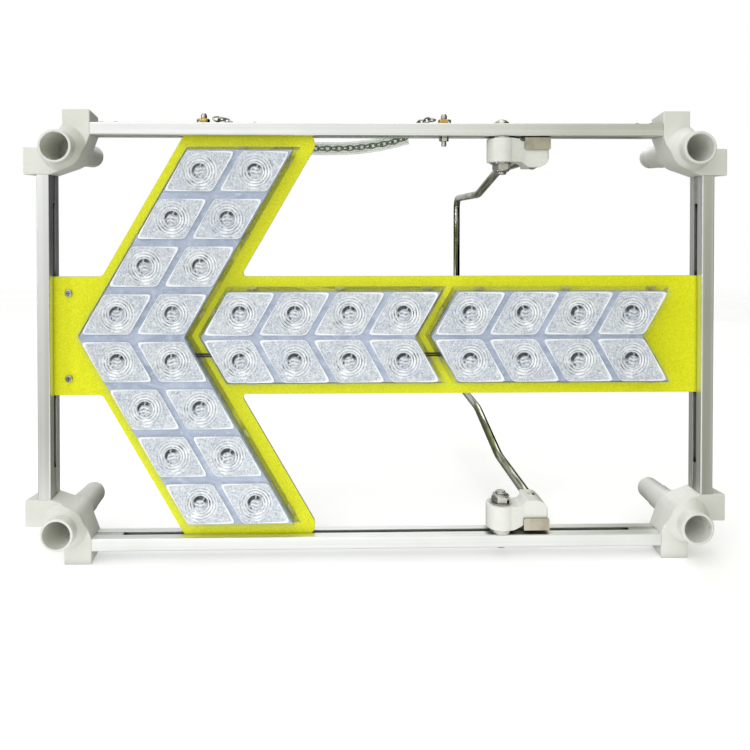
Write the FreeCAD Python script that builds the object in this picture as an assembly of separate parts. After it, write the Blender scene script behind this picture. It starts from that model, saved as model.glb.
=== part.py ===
import FreeCAD, Part
import math
import os

from FreeCAD import Placement, Rotation, Vector

# A lamp arrow board: an aluminium frame with moulded corner pieces, an arrow plate with three lamp modules,
# a folding rod stand behind it and a chain handle on its top rail. All sizes are in millimetres.
#
# The board is drawn about its own middle: X to the right, Y towards the back from the rails' front faces,
# Z up from the middle of the frame. At the end every node is moved so that the origin is under the middle
# of the whole board with its stand open.

# ---- driving dimensions: frame ----
FRAME_WIDTH = 800.0  # over the outer faces of the side rails
FRAME_HEIGHT = 504.0  # over the outer faces of the top and bottom rails
RAIL_FACE = 15.0  # a rail's width, seen from the front
RAIL_DEPTH = 30.0
RAIL_WALL = 2.0
RAIL_EDGE_RADIUS = 1.5
SLOT_MOUTH = 8.0
SLOT_WIDTH = 12.4  # behind the lips
SLOT_DEPTH = 7.5  # from the rail's inner face to the slot's floor
CHAMBER_SIDE = 4.8  # depth of the front and rear hollow chambers
WEB = 2.0  # between the slot's floor and the middle chamber

HALF_W = FRAME_WIDTH / 2
HALF_H = FRAME_HEIGHT / 2
INNER_W = HALF_W - RAIL_FACE  # inner face of a side rail
INNER_H = HALF_H - RAIL_FACE  # inner face of the top rail
MID_DEPTH = RAIL_DEPTH / 2

# ---- driving dimensions: corner pieces ----
BAR_WIDTH = 32.0
BAR_DEPTH = 31.0
BAR_OVERHANG = 15.0  # how far an arm passes the rails' outer faces
BAR_DRAFT = 5.0  # how much the outer sides and ends draw in at the back
BAR_X = 338.0  # the upright arm's inner side, where the top and bottom rails end
BAR_Z = 190.5  # the level arm's inner side, where the side rails end
END_TRIM = 0.05  # the upright arm's end is cut flat by this much, since the board stands on it
EDGE = 1.2  # rounding of the arms' corners
TUBE_X = 369.0  # socket and spigot axis
TUBE_Z = 221.0
SLANT_MEETING = 18.4  # the slanting inner sides would meet this far inwards from the tube's axis
SLANT_ROUNDING = 23.5  # and are rounded together about that axis
TUBE_RADIUS = 19.0
SOCKET_RADIUS = 16.0
SOCKET_DEPTH = 60.0
TUBE_FRONT = -26.0
REAR_RADIUS = 18.0
SPIGOT_START = 52.0
SPIGOT_RADIUS = 15.75
SPIGOT_LAND = 20.0  # length of the part that fits a socket without play
NOSE_RADIUS = 15.0  # the nose goes on from there and tapers
NOSE_TIP_RADIUS = 14.0
NOSE_END = 105.0
NOSE_ROUNDING = 2.0
SPIGOT_CORE_RADIUS = 11.0
SPIGOT_CORE_FLOOR = 42.0
COLLAR_LENGTH = 13.0  # a conical collar spreads from the tube to the arms' front faces
COLLAR_RADIUS = 27.0
FLARE_REAR = 8.0  # radius of the hollow flare where the tube leaves the arms' backs
PRONG_LENGTH = 34.0  # moulded prongs inside the rails' hollow chambers
PRONG_GAP = 0.15
TETHER_HOLE_RADIUS = 2.0

# ---- driving dimensions: corner keys and small screws ----
KEY_VISIBLE = 33.0
KEY_IN_CORNER = 14.0
KEY_GAP = 0.1
GRUB_PLACES = (3.0, 13.6, 19.6)  # from the corner piece, along the key
GRUB_RADIUS = 2.0
BUTTON_PLACES = (9.2, 26.0)  # from the corner piece, along the rail
CLAMP_SCREW_X = -147.5

# ---- driving dimensions: arrow plate ----
LEAN = 1 / math.sqrt(3)  # the arrow's slanting edges lean 30 degrees from upright
ARM_HALF_HEIGHT = INNER_H + 6.0  # the arms' ends stand in the slots
SHAFT_HALF_HEIGHT = 70.5
PLATE_END = INNER_W + 6.0
ARM_LEFT = -369.2  # where the arm's left edge would cross the middle line
ARM_RIGHT = -205.2
ARM_CORNER = 15.0
TAB_FILLET = 8.0
SHAFT_FILLET = 4.0
PLATE_FRONT = 13.5
PLATE_THICKNESS = 4.0
PLATE_BACK = PLATE_FRONT + PLATE_THICKNESS
SHEET_THICKNESS = 0.5
SHEET_FRONT = PLATE_FRONT - SHEET_THICKNESS
END_SCREW_X = -367.5
END_SCREW_Z = 50.7

# ---- driving dimensions: lamp modules ----
TILE = 64.1  # side and pitch of a lamp's rhombic tile
ROW = TILE * math.sqrt(3) / 2  # pitch of the rows
MODULES = {  # name: (left edge on the middle line, lamps across, rows)
    "head": (-353.9, 2, 8),
    "middle": (-211.6, 4, 2),
    "tail": (59.0, 4, 2),
}
COVER_FRONT = -11.0
COVER_WALL = 2.0
FLANGE = 3.0
FLANGE_THICKNESS = 2.0
GASKET = 0.5
BASE_THICKNESS = 3.0
BOARD_THICKNESS = 1.6
BOARD_FRONT = 6.4
LED_RADIUS = 2.5
LED_HEIGHT = 3.0
WIRE_Z = -22.0
WIRE_Y = 4.0
WIRE_RADIUS = 1.1
WIRE_PITCH = 2.6

# ---- driving dimensions: flasher case on the plate's back ----
CASE_X = -70.0
CASE_HALF_W = 65.0
CASE_HALF_H = 36.0
CASE_WALL = 2.5
CASE_BACK = 35.5
LID_THICKNESS = 2.5
LID_BOSS_RADIUS = 4.6
GLAND_X = -30.0
GLAND_Y = 27.0
GLAND_BORE = 3.25

# ---- driving dimensions: stand ----
PIVOT_X = 148.0
PIVOT_Y = MID_DEPTH
PIVOT_RADIUS = 6.0
PIVOT_RUNNING_GAP = 0.05
BOSS_RADIUS = 17.5
STAND_LIFT = 1.4  # the stand is carried a little above the middle of the frame
BOSS_INNER = 204.9  # the boss's end towards the middle of the frame
BOSS_OUTER = 233.6
BOSS_STEP = 0.3  # the arm is this much thinner than the boss at each end
WASHER_RADIUS = 13.0
NUT_ACROSS = 19.0
NUT_HEIGHT = 7.5
COLLAR_HEIGHT = 2.2
BOLT_TIP_REACH = 14.2  # from the boss's inner end to the bolt's tip
NUT_WASHER = 1.2
BOLT_HEAD_RADIUS = 10.5
BOLT_HEAD_HEIGHT = 6.6
ROD_X = 188.0
ROD_RADIUS = 6.0
ROD_LEVEL = 209.0  # distance of the legs from the frame's middle, at the brackets
ROD_LEVEL_FAR = 178.0  # and past the jogs
ROD_LIFT = 2.6  # the rod sits this much above the middle between the brackets
ROD_START_Y = 12.0
ROD_JOG_START = 190.0
ROD_JOG_END = 338.0
ROD_CROSSBAR_Y = 536.0
ROD_JOG_RADIUS = 110.0
ROD_BEND_RADIUS = 20.0
ARM_ROOT_X = 162.0  # where the bracket's outer side starts to fall towards the lobe
ARM_THROAT_X = 170.0  # where its inner side turns to the lobe
ARM_OUTER = 228.0
LOBE_LEFT = 174.5
LOBE_RIGHT = 203.0
LOBE_INNER = 199.2
LOBE_OUTER = 222.0
LOBE_FRONT = 4.0
LOBE_BACK = 40.0
LOBE_NECK_LEFT = 177.5  # the lobe narrows round the rod at its back
LOBE_NECK_RIGHT = 196.0
KEEPER_LEFT = 173.2
KEEPER_RIGHT = 203.8
KEEPER_INNER = 219.8
KEEPER_OUTER = 234.6
ROD_PIN_Y = 25.0
ROD_PIN_RADIUS = 3.0
KEEPER = 2.5  # thickness of the keeper plates

# ---- driving dimensions: chain handle ----
HANDLE_X = -64.6  # middle of the handle
ANCHOR_SPAN = 143.2  # from the middle to each anchor
ANCHOR_BOLT_RADIUS = 3.0
ANCHOR_HEIGHT = 6.0
CHAIN_DIAMETER = 8.5  # over the links
SLEEVE_OUTER_RADIUS = 8.0
SLEEVE_INNER_RADIUS = 6.0
# Half of the chain's route, from an anchor to the middle: offset from the handle's middle, depth, height.
CHAIN_HALF_ROUTE = [
    (132.7, 22.5, 258.8),
    (121.2, 31.0, 260.5),
    (111.6, 39.0, 253.2),
    (103.2, 42.0, 239.8),
    (77.4, 42.0, 232.2),
    (38.7, 42.0, 226.5),
]
CHAIN_LOW_POINT = (0.0, 42.0, 225.7)
SLEEVE_FIRST = 3  # the sleeve starts just past this point of the route
SLEEVE_SET_BACK = 1.5

OVERALL_HALF_H = HALF_H + BAR_OVERHANG
OVERALL_HALF_W = HALF_W + BAR_OVERHANG
OVERALL_BACK = ROD_CROSSBAR_Y + ROD_RADIUS
ORIGIN = Vector(0, (TUBE_FRONT + OVERALL_BACK) / 2, -OVERALL_HALF_H)

X_AXIS = Vector(1, 0, 0)
Y_AXIS = Vector(0, 1, 0)
Z_AXIS = Vector(0, 0, 1)


# ---- helpers ----
def box(x0, x1, y0, y1, z0, z1):
    corner = Vector(min(x0, x1), min(y0, y1), min(z0, z1))
    return Part.makeBox(abs(x1 - x0), abs(y1 - y0), abs(z1 - z0), corner)


def cylinder(start, axis, length, radius):
    return Part.makeCylinder(radius, length, start, axis)


def mirror_x(shape):
    return shape.mirror(Vector(0, 0, 0), X_AXIS)


def mirror_z(shape):
    return shape.mirror(Vector(0, 0, 0), Z_AXIS)


def outline(points, radii, y):
    """A closed wire in the plane of that depth through (x, z) points, each rounded to its radius."""
    count = len(points)
    places = [Vector(px, y, pz) for px, pz in points]
    edges = []
    starts, ends, middles = [], [], []
    for i in range(count):
        before, here, after = places[i - 1], places[i], places[(i + 1) % count]
        to_before = (before - here).normalize()
        to_after = (after - here).normalize()
        if radii[i] == 0:
            starts.append(here)
            ends.append(here)
            middles.append(None)
            continue
        half = to_before.getAngle(to_after) / 2
        cut = radii[i] / math.tan(half)
        bisector = (to_before + to_after).normalize()
        centre = here + bisector * (radii[i] / math.sin(half))
        starts.append(here + to_before * cut)
        ends.append(here + to_after * cut)
        middles.append(centre - bisector * radii[i])
    for i in range(count):
        if middles[i] is not None:
            edges.append(Part.Arc(starts[i], middles[i], ends[i]).toShape())
        following = starts[(i + 1) % count]
        if (following - ends[i]).Length > 1e-6:
            edges.append(Part.makeLine(ends[i], following))
    return Part.Wire(edges)


def prism(points, radii, y0, y1):
    face = Part.Face(outline(points, radii, y0))
    return face.extrude(Vector(0, y1 - y0, 0))


def sharp_prism(points, y0, y1):
    return prism(points, [0] * len(points), y0, y1)


def bent_path(points, radii):
    """An open wire of straight runs joined by tangent arcs; radii has one value for each inner point."""
    edges = []
    last = points[0]
    for i in range(1, len(points) - 1):
        here = points[i]
        back = (points[i - 1] - here).normalize()
        on = (points[i + 1] - here).normalize()
        half = back.getAngle(on) / 2
        cut = radii[i - 1] / math.tan(half)
        bisector = (back + on).normalize()
        centre = here + bisector * (radii[i - 1] / math.sin(half))
        start, end = here + back * cut, here + on * cut
        edges.append(Part.makeLine(last, start))
        edges.append(Part.Arc(start, centre - bisector * radii[i - 1], end).toShape())
        last = end
    edges.append(Part.makeLine(last, points[-1]))
    return Part.Wire(edges)


def tube_along(wire, radius):
    first = wire.Edges[0]
    start = first.valueAt(first.FirstParameter)
    direction = first.tangentAt(first.FirstParameter)
    profile = Part.Wire([Part.makeCircle(radius, start, direction)])
    return wire.makePipeShell([profile], True, False)


def revolved(profile, base, axis):
    """A solid from a closed list of (radius, height) points turned about axis at base."""
    places = [Vector(r, 0, h) for r, h in profile]
    face = Part.Face(Part.makePolygon(places + [places[0]]))
    solid = face.revolve(Vector(0, 0, 0), Z_AXIS, 360)
    solid.Placement = Placement(base, Rotation(Z_AXIS, axis))
    return solid


def dome(base, axis, radius, height):
    """A low round screw head: a cap of a sphere whose rim has that radius."""
    ball = (radius**2 + height**2) / (2 * height)
    sphere = Part.makeSphere(ball, base + axis * (height - ball))
    keep = cylinder(base, axis, height, radius)
    return sphere.common(keep)


def button_screw(base, axis, radius, height, shank_radius, shank):
    """A dome head on base with a hex recess, and its shank going the other way."""
    head = dome(base, axis, radius, height)
    recess = hexagon(base + axis * (height * 0.45), axis, shank_radius * 1.25, height)
    stem = cylinder(base - axis * shank, axis, shank, shank_radius)
    return head.cut(recess).fuse(stem)


def hexagon(base, axis, across, height):
    """A hexagonal prism, across flats."""
    reach = across / math.sqrt(3)
    corners = [
        Vector(reach * math.cos(math.radians(60 * i)), reach * math.sin(math.radians(60 * i)), 0)
        for i in range(6)
    ]
    solid = Part.Face(Part.makePolygon(corners + [corners[0]])).extrude(Vector(0, 0, height))
    solid.Placement = Placement(base, Rotation(Z_AXIS, axis))
    return solid


def pan_screw(base, axis, radius, height, shank_radius, shank):
    """A pan head with a cross recess, and its shank going the other way."""
    head = cylinder(base, axis, height, radius)
    rim = [e for e in head.Edges if abs((e.CenterOfMass - base).dot(axis) - height) < 1e-6]
    head = head.makeFillet(height * 0.45, rim)
    across = radius * 0.34
    along = radius * 1.25
    for size_x, size_y in ((along, across), (across, along)):
        slot = Part.makeBox(size_x, size_y, height, Vector(-size_x / 2, -size_y / 2, 0))
        slot.Placement = Placement(base + axis * (height * 0.45), Rotation(Z_AXIS, axis))
        head = head.cut(slot)
    return head.fuse(cylinder(base - axis * shank, axis, shank, shank_radius))


# ---- frame rails ----
def rail_section(length):
    """A rail along X from 0, inner face on Z = 0, body above it, front face on Y = 0."""
    ring = [(0, 0), (0, RAIL_FACE), (length, RAIL_FACE), (length, 0)]
    body = sharp_prism(ring, 0, RAIL_DEPTH)
    long_edges = [e for e in body.Edges if abs(e.BoundBox.XLength - length) < 1e-6]
    body = body.makeFillet(RAIL_EDGE_RADIUS, long_edges)
    slot_half = SLOT_WIDTH / 2
    mouth_half = SLOT_MOUTH / 2
    floor_top = SLOT_DEPTH + WEB
    hollows = [
        (MID_DEPTH - mouth_half, MID_DEPTH + mouth_half, -1, RAIL_WALL),
        (MID_DEPTH - slot_half, MID_DEPTH + slot_half, RAIL_WALL, SLOT_DEPTH),
        (MID_DEPTH - slot_half, MID_DEPTH + slot_half, floor_top, RAIL_FACE - RAIL_WALL),
        (RAIL_WALL, RAIL_WALL + CHAMBER_SIDE, RAIL_WALL, RAIL_FACE - RAIL_WALL),
        (RAIL_DEPTH - RAIL_WALL - CHAMBER_SIDE, RAIL_DEPTH - RAIL_WALL, RAIL_WALL, RAIL_FACE - RAIL_WALL),
    ]
    for y0, y1, z0, z1 in hollows:
        body = body.cut(box(-1, length + 1, y0, y1, z0, z1))
    return body


def top_rail():
    rail = rail_section(2 * BAR_X)
    rail.translate(Vector(-BAR_X, 0, INNER_H))
    return rail


def right_rail():
    rail = rail_section(2 * BAR_Z)
    rail.rotate(Vector(0, 0, 0), Y_AXIS, 90)
    rail.translate(Vector(INNER_W, 0, BAR_Z))
    return rail


def prongs_along_x():
    """Two moulded prongs that fill the top rail's front and rear chambers at its right end."""
    made = []
    for y0 in (RAIL_WALL, RAIL_DEPTH - RAIL_WALL - CHAMBER_SIDE):
        made.append(
            box(
                BAR_X - PRONG_LENGTH,
                BAR_X + 1,
                y0 + PRONG_GAP,
                y0 + CHAMBER_SIDE - PRONG_GAP,
                INNER_H + RAIL_WALL + PRONG_GAP,
                HALF_H - RAIL_WALL - PRONG_GAP,
            )
        )
    return made


def prongs_along_z():
    """The same at the right rail's upper end."""
    made = []
    for y0 in (RAIL_WALL, RAIL_DEPTH - RAIL_WALL - CHAMBER_SIDE):
        made.append(
            box(
                INNER_W + RAIL_WALL + PRONG_GAP,
                HALF_W - RAIL_WALL - PRONG_GAP,
                y0 + PRONG_GAP,
                y0 + CHAMBER_SIDE - PRONG_GAP,
                BAR_Z - PRONG_LENGTH,
                BAR_Z + 1,
            )
        )
    return made


# ---- corner keys ----
def key_section(length):
    """A tongue along X from 0 that fills the slot and its mouth; inner face of the rail on Z = 0."""
    mouth_half = SLOT_MOUTH / 2 - KEY_GAP
    slot_half = SLOT_WIDTH / 2 - KEY_GAP
    neck = box(0, length, MID_DEPTH - mouth_half, MID_DEPTH + mouth_half, 0.5, RAIL_WALL + 0.5)
    foot = box(
        0,
        length,
        MID_DEPTH - slot_half,
        MID_DEPTH + slot_half,
        RAIL_WALL + KEY_GAP,
        SLOT_DEPTH - KEY_GAP,
    )
    return neck.fuse(foot).removeSplitter()


def grub_screws(along_x):
    """Grub screws for the top right corner's key in that rail, each with a hex socket."""
    screws = []
    for place in GRUB_PLACES:
        if along_x:
            base = Vector(BAR_X - place, MID_DEPTH, INNER_H + 1.0)
            axis = Z_AXIS
        else:
            base = Vector(INNER_W + 1.0, MID_DEPTH, BAR_Z - place)
            axis = X_AXIS
        body = cylinder(base, axis, SLOT_DEPTH - 1.2, GRUB_RADIUS)
        socket = hexagon(base - axis, axis, GRUB_RADIUS, 3.0)
        screws.append(body.cut(socket))
    return screws


def key_along_x():
    key = key_section(KEY_VISIBLE + KEY_IN_CORNER)
    key.translate(Vector(BAR_X - KEY_VISIBLE, 0, INNER_H))
    return key


def key_along_z():
    key = key_section(KEY_VISIBLE + KEY_IN_CORNER)
    key.rotate(Vector(0, 0, 0), Y_AXIS, 90)
    key.translate(Vector(INNER_W, 0, BAR_Z + KEY_IN_CORNER))
    return key


# ---- corner pieces ----
def arm_outline(y, draft):
    """The two arms of the top right corner piece; slanting inner sides join them round the tube."""
    top = OVERALL_HALF_H - draft
    right = OVERALL_HALF_W - draft
    side = BAR_X + BAR_WIDTH - draft
    shelf = BAR_Z + BAR_WIDTH - draft
    points = [
        (BAR_X, top),
        (BAR_X, INNER_H),
        (TUBE_X - SLANT_MEETING, TUBE_Z - SLANT_MEETING),
        (INNER_W, BAR_Z),
        (right, BAR_Z),
        (right, shelf),
        (side, shelf),
        (side, top),
    ]
    radii = [EDGE, EDGE, SLANT_ROUNDING, EDGE, EDGE, EDGE, EDGE, EDGE]
    return outline(points, radii, y)


def beyond_foot():
    """The space beyond the flat end of the upright arm, which slopes with the draft."""
    top = OVERALL_HALF_H - END_TRIM
    reach = 5.0
    fall = reach * BAR_DRAFT / BAR_DEPTH
    corners = [
        Vector(BAR_X - 1, -reach, top + fall),
        Vector(BAR_X - 1, BAR_DEPTH + reach, top - BAR_DRAFT - fall),
        Vector(BAR_X - 1, BAR_DEPTH + reach, top + reach),
        Vector(BAR_X - 1, -reach, top + reach),
    ]
    return Part.Face(Part.makePolygon(corners + [corners[0]])).extrude(X_AXIS * (BAR_WIDTH + 2))


def front_collar():
    """The cone between the tube and the arms' front faces, kept within the arms' outline."""
    profile = [
        (0, 1.0),
        (COLLAR_RADIUS, 1.0),
        (COLLAR_RADIUS, 0),
        (TUBE_RADIUS, -COLLAR_LENGTH),
        (0, -COLLAR_LENGTH),
    ]
    cone = revolved(profile, Vector(TUBE_X, 0, TUBE_Z), Y_AXIS)
    within = Part.Face(arm_outline(-COLLAR_LENGTH - 1, 0)).extrude(Vector(0, COLLAR_LENGTH + 2, 0))
    return cone.common(within)


def rear_flare():
    """A hollow flare round the tube where it leaves the arms' backs."""
    steps = 8
    profile = [(0, -0.5), (REAR_RADIUS + FLARE_REAR, -0.5)]
    for i in range(steps + 1):
        turn = math.pi / 2 * i / steps
        profile.append((REAR_RADIUS + FLARE_REAR * (1 - math.sin(turn)), FLARE_REAR * (1 - math.cos(turn))))
    profile.append((0, FLARE_REAR))
    cone = revolved(profile, Vector(TUBE_X, BAR_DEPTH, TUBE_Z), Y_AXIS)
    within = Part.Face(arm_outline(BAR_DEPTH - 1, BAR_DRAFT)).extrude(Vector(0, FLARE_REAR + 2, 0))
    return cone.common(within)


def corner_tube():
    """The tube through the corner piece: straight at the front, a stepped and tapered spigot behind."""
    land_end = SPIGOT_START + SPIGOT_LAND
    profile = [
        (0, TUBE_FRONT),
        (TUBE_RADIUS - 0.8, TUBE_FRONT),
        (TUBE_RADIUS, TUBE_FRONT + 0.8),
        (TUBE_RADIUS, BAR_DEPTH / 2),
        (REAR_RADIUS, BAR_DEPTH / 2),
        (REAR_RADIUS, SPIGOT_START - 3.0),
        (SPIGOT_RADIUS + 0.8, SPIGOT_START),
        (SPIGOT_RADIUS, SPIGOT_START),
        (SPIGOT_RADIUS, land_end),
        (NOSE_RADIUS, land_end),
        (NOSE_TIP_RADIUS, NOSE_END - NOSE_ROUNDING),
        (NOSE_TIP_RADIUS - 0.3 * NOSE_ROUNDING, NOSE_END - 0.3 * NOSE_ROUNDING),
        (NOSE_TIP_RADIUS - NOSE_ROUNDING, NOSE_END),
        (0, NOSE_END),
    ]
    return revolved(profile, Vector(TUBE_X, 0, TUBE_Z), Y_AXIS)


def corner_body():
    """The top right corner piece, without the cuts for its tether hole and screws."""
    arms = Part.makeLoft([arm_outline(0, 0), arm_outline(BAR_DEPTH, BAR_DRAFT)], True, True)
    front_edges = [e for e in arms.Edges if e.BoundBox.YMax < 1e-6]
    arms = arms.makeFillet(EDGE * 0.7, front_edges)
    body = arms.cut(beyond_foot()).fuse([front_collar(), rear_flare()])
    body = body.fuse(corner_tube())
    for prong in prongs_along_x() + prongs_along_z():
        body = body.fuse(prong)
    socket = cylinder(Vector(TUBE_X, TUBE_FRONT - 1, TUBE_Z), Y_AXIS, SOCKET_DEPTH + 1, SOCKET_RADIUS)
    core_length = NOSE_END - SPIGOT_CORE_FLOOR + 1
    core = cylinder(Vector(TUBE_X, SPIGOT_CORE_FLOOR, TUBE_Z), Y_AXIS, core_length, SPIGOT_CORE_RADIUS)
    for tool in (socket, core, key_along_x(), key_along_z()):
        body = body.cut(tool)
    return body


# ---- arrow plate ----
def arrow_points():
    arm_left_top = ARM_LEFT + LEAN * ARM_HALF_HEIGHT
    arm_right_top = ARM_RIGHT + LEAN * ARM_HALF_HEIGHT
    arm_left_tab = ARM_LEFT + LEAN * SHAFT_HALF_HEIGHT
    arm_right_shaft = ARM_RIGHT + LEAN * SHAFT_HALF_HEIGHT
    upper = [
        (-PLATE_END, SHAFT_HALF_HEIGHT, 0),
        (arm_left_tab, SHAFT_HALF_HEIGHT, TAB_FILLET),
        (arm_left_top, ARM_HALF_HEIGHT, 0),
        (arm_right_top, ARM_HALF_HEIGHT, ARM_CORNER),
        (arm_right_shaft, SHAFT_HALF_HEIGHT, SHAFT_FILLET),
        (PLATE_END, SHAFT_HALF_HEIGHT, 0),
    ]
    lower = [(px, -pz, r) for px, pz, r in reversed(upper)]
    return upper + lower


def arrow_blank(y0, y1):
    corners = arrow_points()
    points = [(px, pz) for px, pz, _ in corners]
    radii = [r for _, _, r in corners]
    return prism(points, radii, y0, y1)


# ---- lamp modules ----
def module_outline(name, inset):
    """The chevron of a module, drawn in by inset on every side."""
    left, across, rows = MODULES[name]
    shift = inset * math.sqrt(1 + LEAN**2)
    left_edge = left + shift
    right_edge = left + across * TILE - shift
    top = rows / 2 * ROW - inset
    upper = [(left_edge, 0), (left_edge + LEAN * top, top), (right_edge + LEAN * top, top), (right_edge, 0)]
    lower = [(right_edge + LEAN * top, -top), (left_edge + LEAN * top, -top)]
    return upper + lower


def lamp_places(name):
    """Each lamp's (x, z), by rows from the middle line outwards on both sides."""
    left, across, rows = MODULES[name]
    places = []
    for row in range(rows // 2):
        height = (row + 0.5) * ROW
        for column in range(across):
            centre = left + (column + 0.5) * TILE + LEAN * height
            places.append((centre, height))
            places.append((centre, -height))
    return places


def screw_places(name):
    """Module screws sit on the joints between tiles, two columns of them in each module."""
    left, across, rows = MODULES[name]
    top = rows / 2 * ROW
    levels = [0.5 * ROW] if rows == 2 else [0.5 * ROW, 2.5 * ROW, top - 0.5 * ROW]
    columns = [TILE] if across == 2 else [TILE * 0.6, TILE * (across - 0.6)]
    return [(left + c + LEAN * h, s * h) for h in levels for c in columns for s in (1, -1)]


def module_screws(name):
    shank = PLATE_BACK - SHEET_FRONT + BASE_THICKNESS - 0.5
    return [
        pan_screw(Vector(px, PLATE_BACK, pz), Y_AXIS, 3.6, 2.4, 1.9, shank)
        for px, pz in screw_places(name)
    ]


def module_base(name):
    floor = SHEET_FRONT - BASE_THICKNESS
    base = sharp_prism(module_outline(name, COVER_WALL + 0.4), floor, SHEET_FRONT)
    for px, pz in screw_places(name):
        height = floor - BOARD_FRONT - BOARD_THICKNESS
        boss = cylinder(Vector(px, floor - height, pz), Y_AXIS, height + 0.5, 4.0)
        base = base.fuse(boss)
    return base


def module_cover(name):
    seat = SHEET_FRONT - GASKET
    shell = sharp_prism(module_outline(name, 0), COVER_FRONT, seat)
    rim = [e for e in shell.Edges if e.BoundBox.YMax < COVER_FRONT + 1e-6]
    shell = shell.makeChamfer(1.0, rim)
    lip = sharp_prism(module_outline(name, -FLANGE), seat - FLANGE_THICKNESS, seat)
    hollow = sharp_prism(module_outline(name, COVER_WALL), COVER_FRONT + COVER_WALL, seat + 1)
    return shell.fuse(lip).cut(hollow).removeSplitter()


def module_gasket(name):
    outer = sharp_prism(module_outline(name, 0.4 - FLANGE), SHEET_FRONT - GASKET, SHEET_FRONT)
    inner = sharp_prism(module_outline(name, COVER_WALL + 0.2), SHEET_FRONT - 1, SHEET_FRONT + 1)
    return outer.cut(inner)


def module_board(name):
    return sharp_prism(module_outline(name, COVER_WALL + 2), BOARD_FRONT, BOARD_FRONT + BOARD_THICKNESS)


def module_leds(name):
    """One lamp chip for each tile: a square body under a small clear dome."""
    chips = []
    for px, pz in lamp_places(name):
        body = box(px - 3.5, px + 3.5, BOARD_FRONT - 1.2, BOARD_FRONT, pz - 3.5, pz + 3.5)
        cap = dome(Vector(px, BOARD_FRONT - 1.2, pz), -Y_AXIS, LED_RADIUS, LED_HEIGHT - 1.2)
        chips.append(body.fuse(cap))
    return chips


def link_wires():
    """Two black strands across the gap to each next module, ending on its circuit board's edge."""
    wires = []
    names = list(MODULES)
    for near, far in zip(names, names[1:]):
        left, across, _ = MODULES[near]
        start = left + across * TILE - LEAN * WIRE_Z - 12.0
        end = MODULES[far][0] - LEAN * WIRE_Z + 12.0
        for side in (-0.5, 0.5):
            place = Vector(start, WIRE_Y, WIRE_Z + side * WIRE_PITCH)
            wires.append(cylinder(place, X_AXIS, end - start, WIRE_RADIUS))
    return wires


# ---- plate fastenings ----
def end_bracket():
    """An angle behind the plate's left end, on the side rail's inner face."""
    height = END_SCREW_Z + 12.0
    leaf = box(-INNER_W, END_SCREW_X + 12.0, PLATE_BACK, PLATE_BACK + 2.0, -height, height)
    wing = box(-INNER_W, -INNER_W + 2.0, PLATE_BACK, RAIL_DEPTH - 1.0, -height, height)
    return leaf.fuse(wing).removeSplitter()


def end_screws():
    """Pan-head screws through the sheet, the plate and the angle."""
    return [
        pan_screw(Vector(END_SCREW_X, SHEET_FRONT, side * END_SCREW_Z), -Y_AXIS, 4.4, 2.8, 2.2, 8.0)
        for side in (1, -1)
    ]


def bracket_rail_screws():
    """Countersunk screws would foul the slot's lips, so low pan heads hold the angle to the rail."""
    return [
        pan_screw(Vector(-INNER_W + 2.0, RAIL_DEPTH - 4.8, side * 30.0), X_AXIS, 3.0, 1.8, 1.5, 5.0)
        for side in (1, -1)
    ]


# ---- flasher case ----
def flasher_case():
    left, right = CASE_X - CASE_HALF_W, CASE_X + CASE_HALF_W
    outer = box(left, right, PLATE_BACK, CASE_BACK, -CASE_HALF_H, CASE_HALF_H)
    upright = [e for e in outer.Edges if e.BoundBox.YLength > 1 and e.BoundBox.XLength < 1e-6]
    outer = outer.makeFillet(4.0, upright)
    inner = box(
        left + CASE_WALL,
        right - CASE_WALL,
        PLATE_BACK + CASE_WALL,
        CASE_BACK + 1,
        -CASE_HALF_H + CASE_WALL,
        CASE_HALF_H - CASE_WALL,
    )
    case = outer.cut(inner)
    boss_length = CASE_BACK - PLATE_BACK - 1
    for px, pz in lid_screw_places():
        case = case.fuse(cylinder(Vector(px, PLATE_BACK + 1, pz), Y_AXIS, boss_length, LID_BOSS_RADIUS))
    hole = cylinder(Vector(GLAND_X, GLAND_Y, -CASE_HALF_H - 1), Z_AXIS, CASE_WALL + 2, 5.0)
    return case.cut(hole)


def lid_screw_places():
    dx = CASE_HALF_W - 6.5
    dz = CASE_HALF_H - 6.5
    return [(CASE_X + sx * dx, sz * dz) for sx in (1, -1) for sz in (1, -1)]


def flasher_lid():
    lid = box(
        CASE_X - CASE_HALF_W,
        CASE_X + CASE_HALF_W,
        CASE_BACK,
        CASE_BACK + LID_THICKNESS,
        -CASE_HALF_H,
        CASE_HALF_H,
    )
    upright = [e for e in lid.Edges if e.BoundBox.YLength > 1 and e.BoundBox.XLength < 1e-6]
    lid = lid.makeFillet(4.0, upright)
    rim = [e for e in lid.Edges if e.BoundBox.YMin > CASE_BACK + LID_THICKNESS - 1e-6]
    return lid.makeFillet(1.0, rim)


def flasher_board():
    dx = CASE_HALF_W - CASE_WALL - 10.0
    dz = CASE_HALF_H - CASE_WALL - 5.5
    board = box(CASE_X - dx, CASE_X + dx, PLATE_BACK + 5, PLATE_BACK + 6.6, -dz, dz)
    relay = box(CASE_X - 30, CASE_X - 12, PLATE_BACK + 6.6, PLATE_BACK + 14, -8, 10)
    driver = box(CASE_X + 8, CASE_X + 26, PLATE_BACK + 6.6, PLATE_BACK + 10, -10, 8)
    floor = PLATE_BACK + CASE_WALL
    feet = [
        box(CASE_X + sx * dx, CASE_X + sx * (dx - 5), floor, PLATE_BACK + 5, sz * dz, sz * (dz - 5))
        for sx in (1, -1)
        for sz in (1, -1)
    ]
    return board.fuse([relay, driver] + feet).removeSplitter()


def lid_screws():
    return [
        pan_screw(Vector(px, CASE_BACK + LID_THICKNESS, pz), Y_AXIS, 2.8, 1.6, 1.4, 10.0)
        for px, pz in lid_screw_places()
    ]


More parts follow.
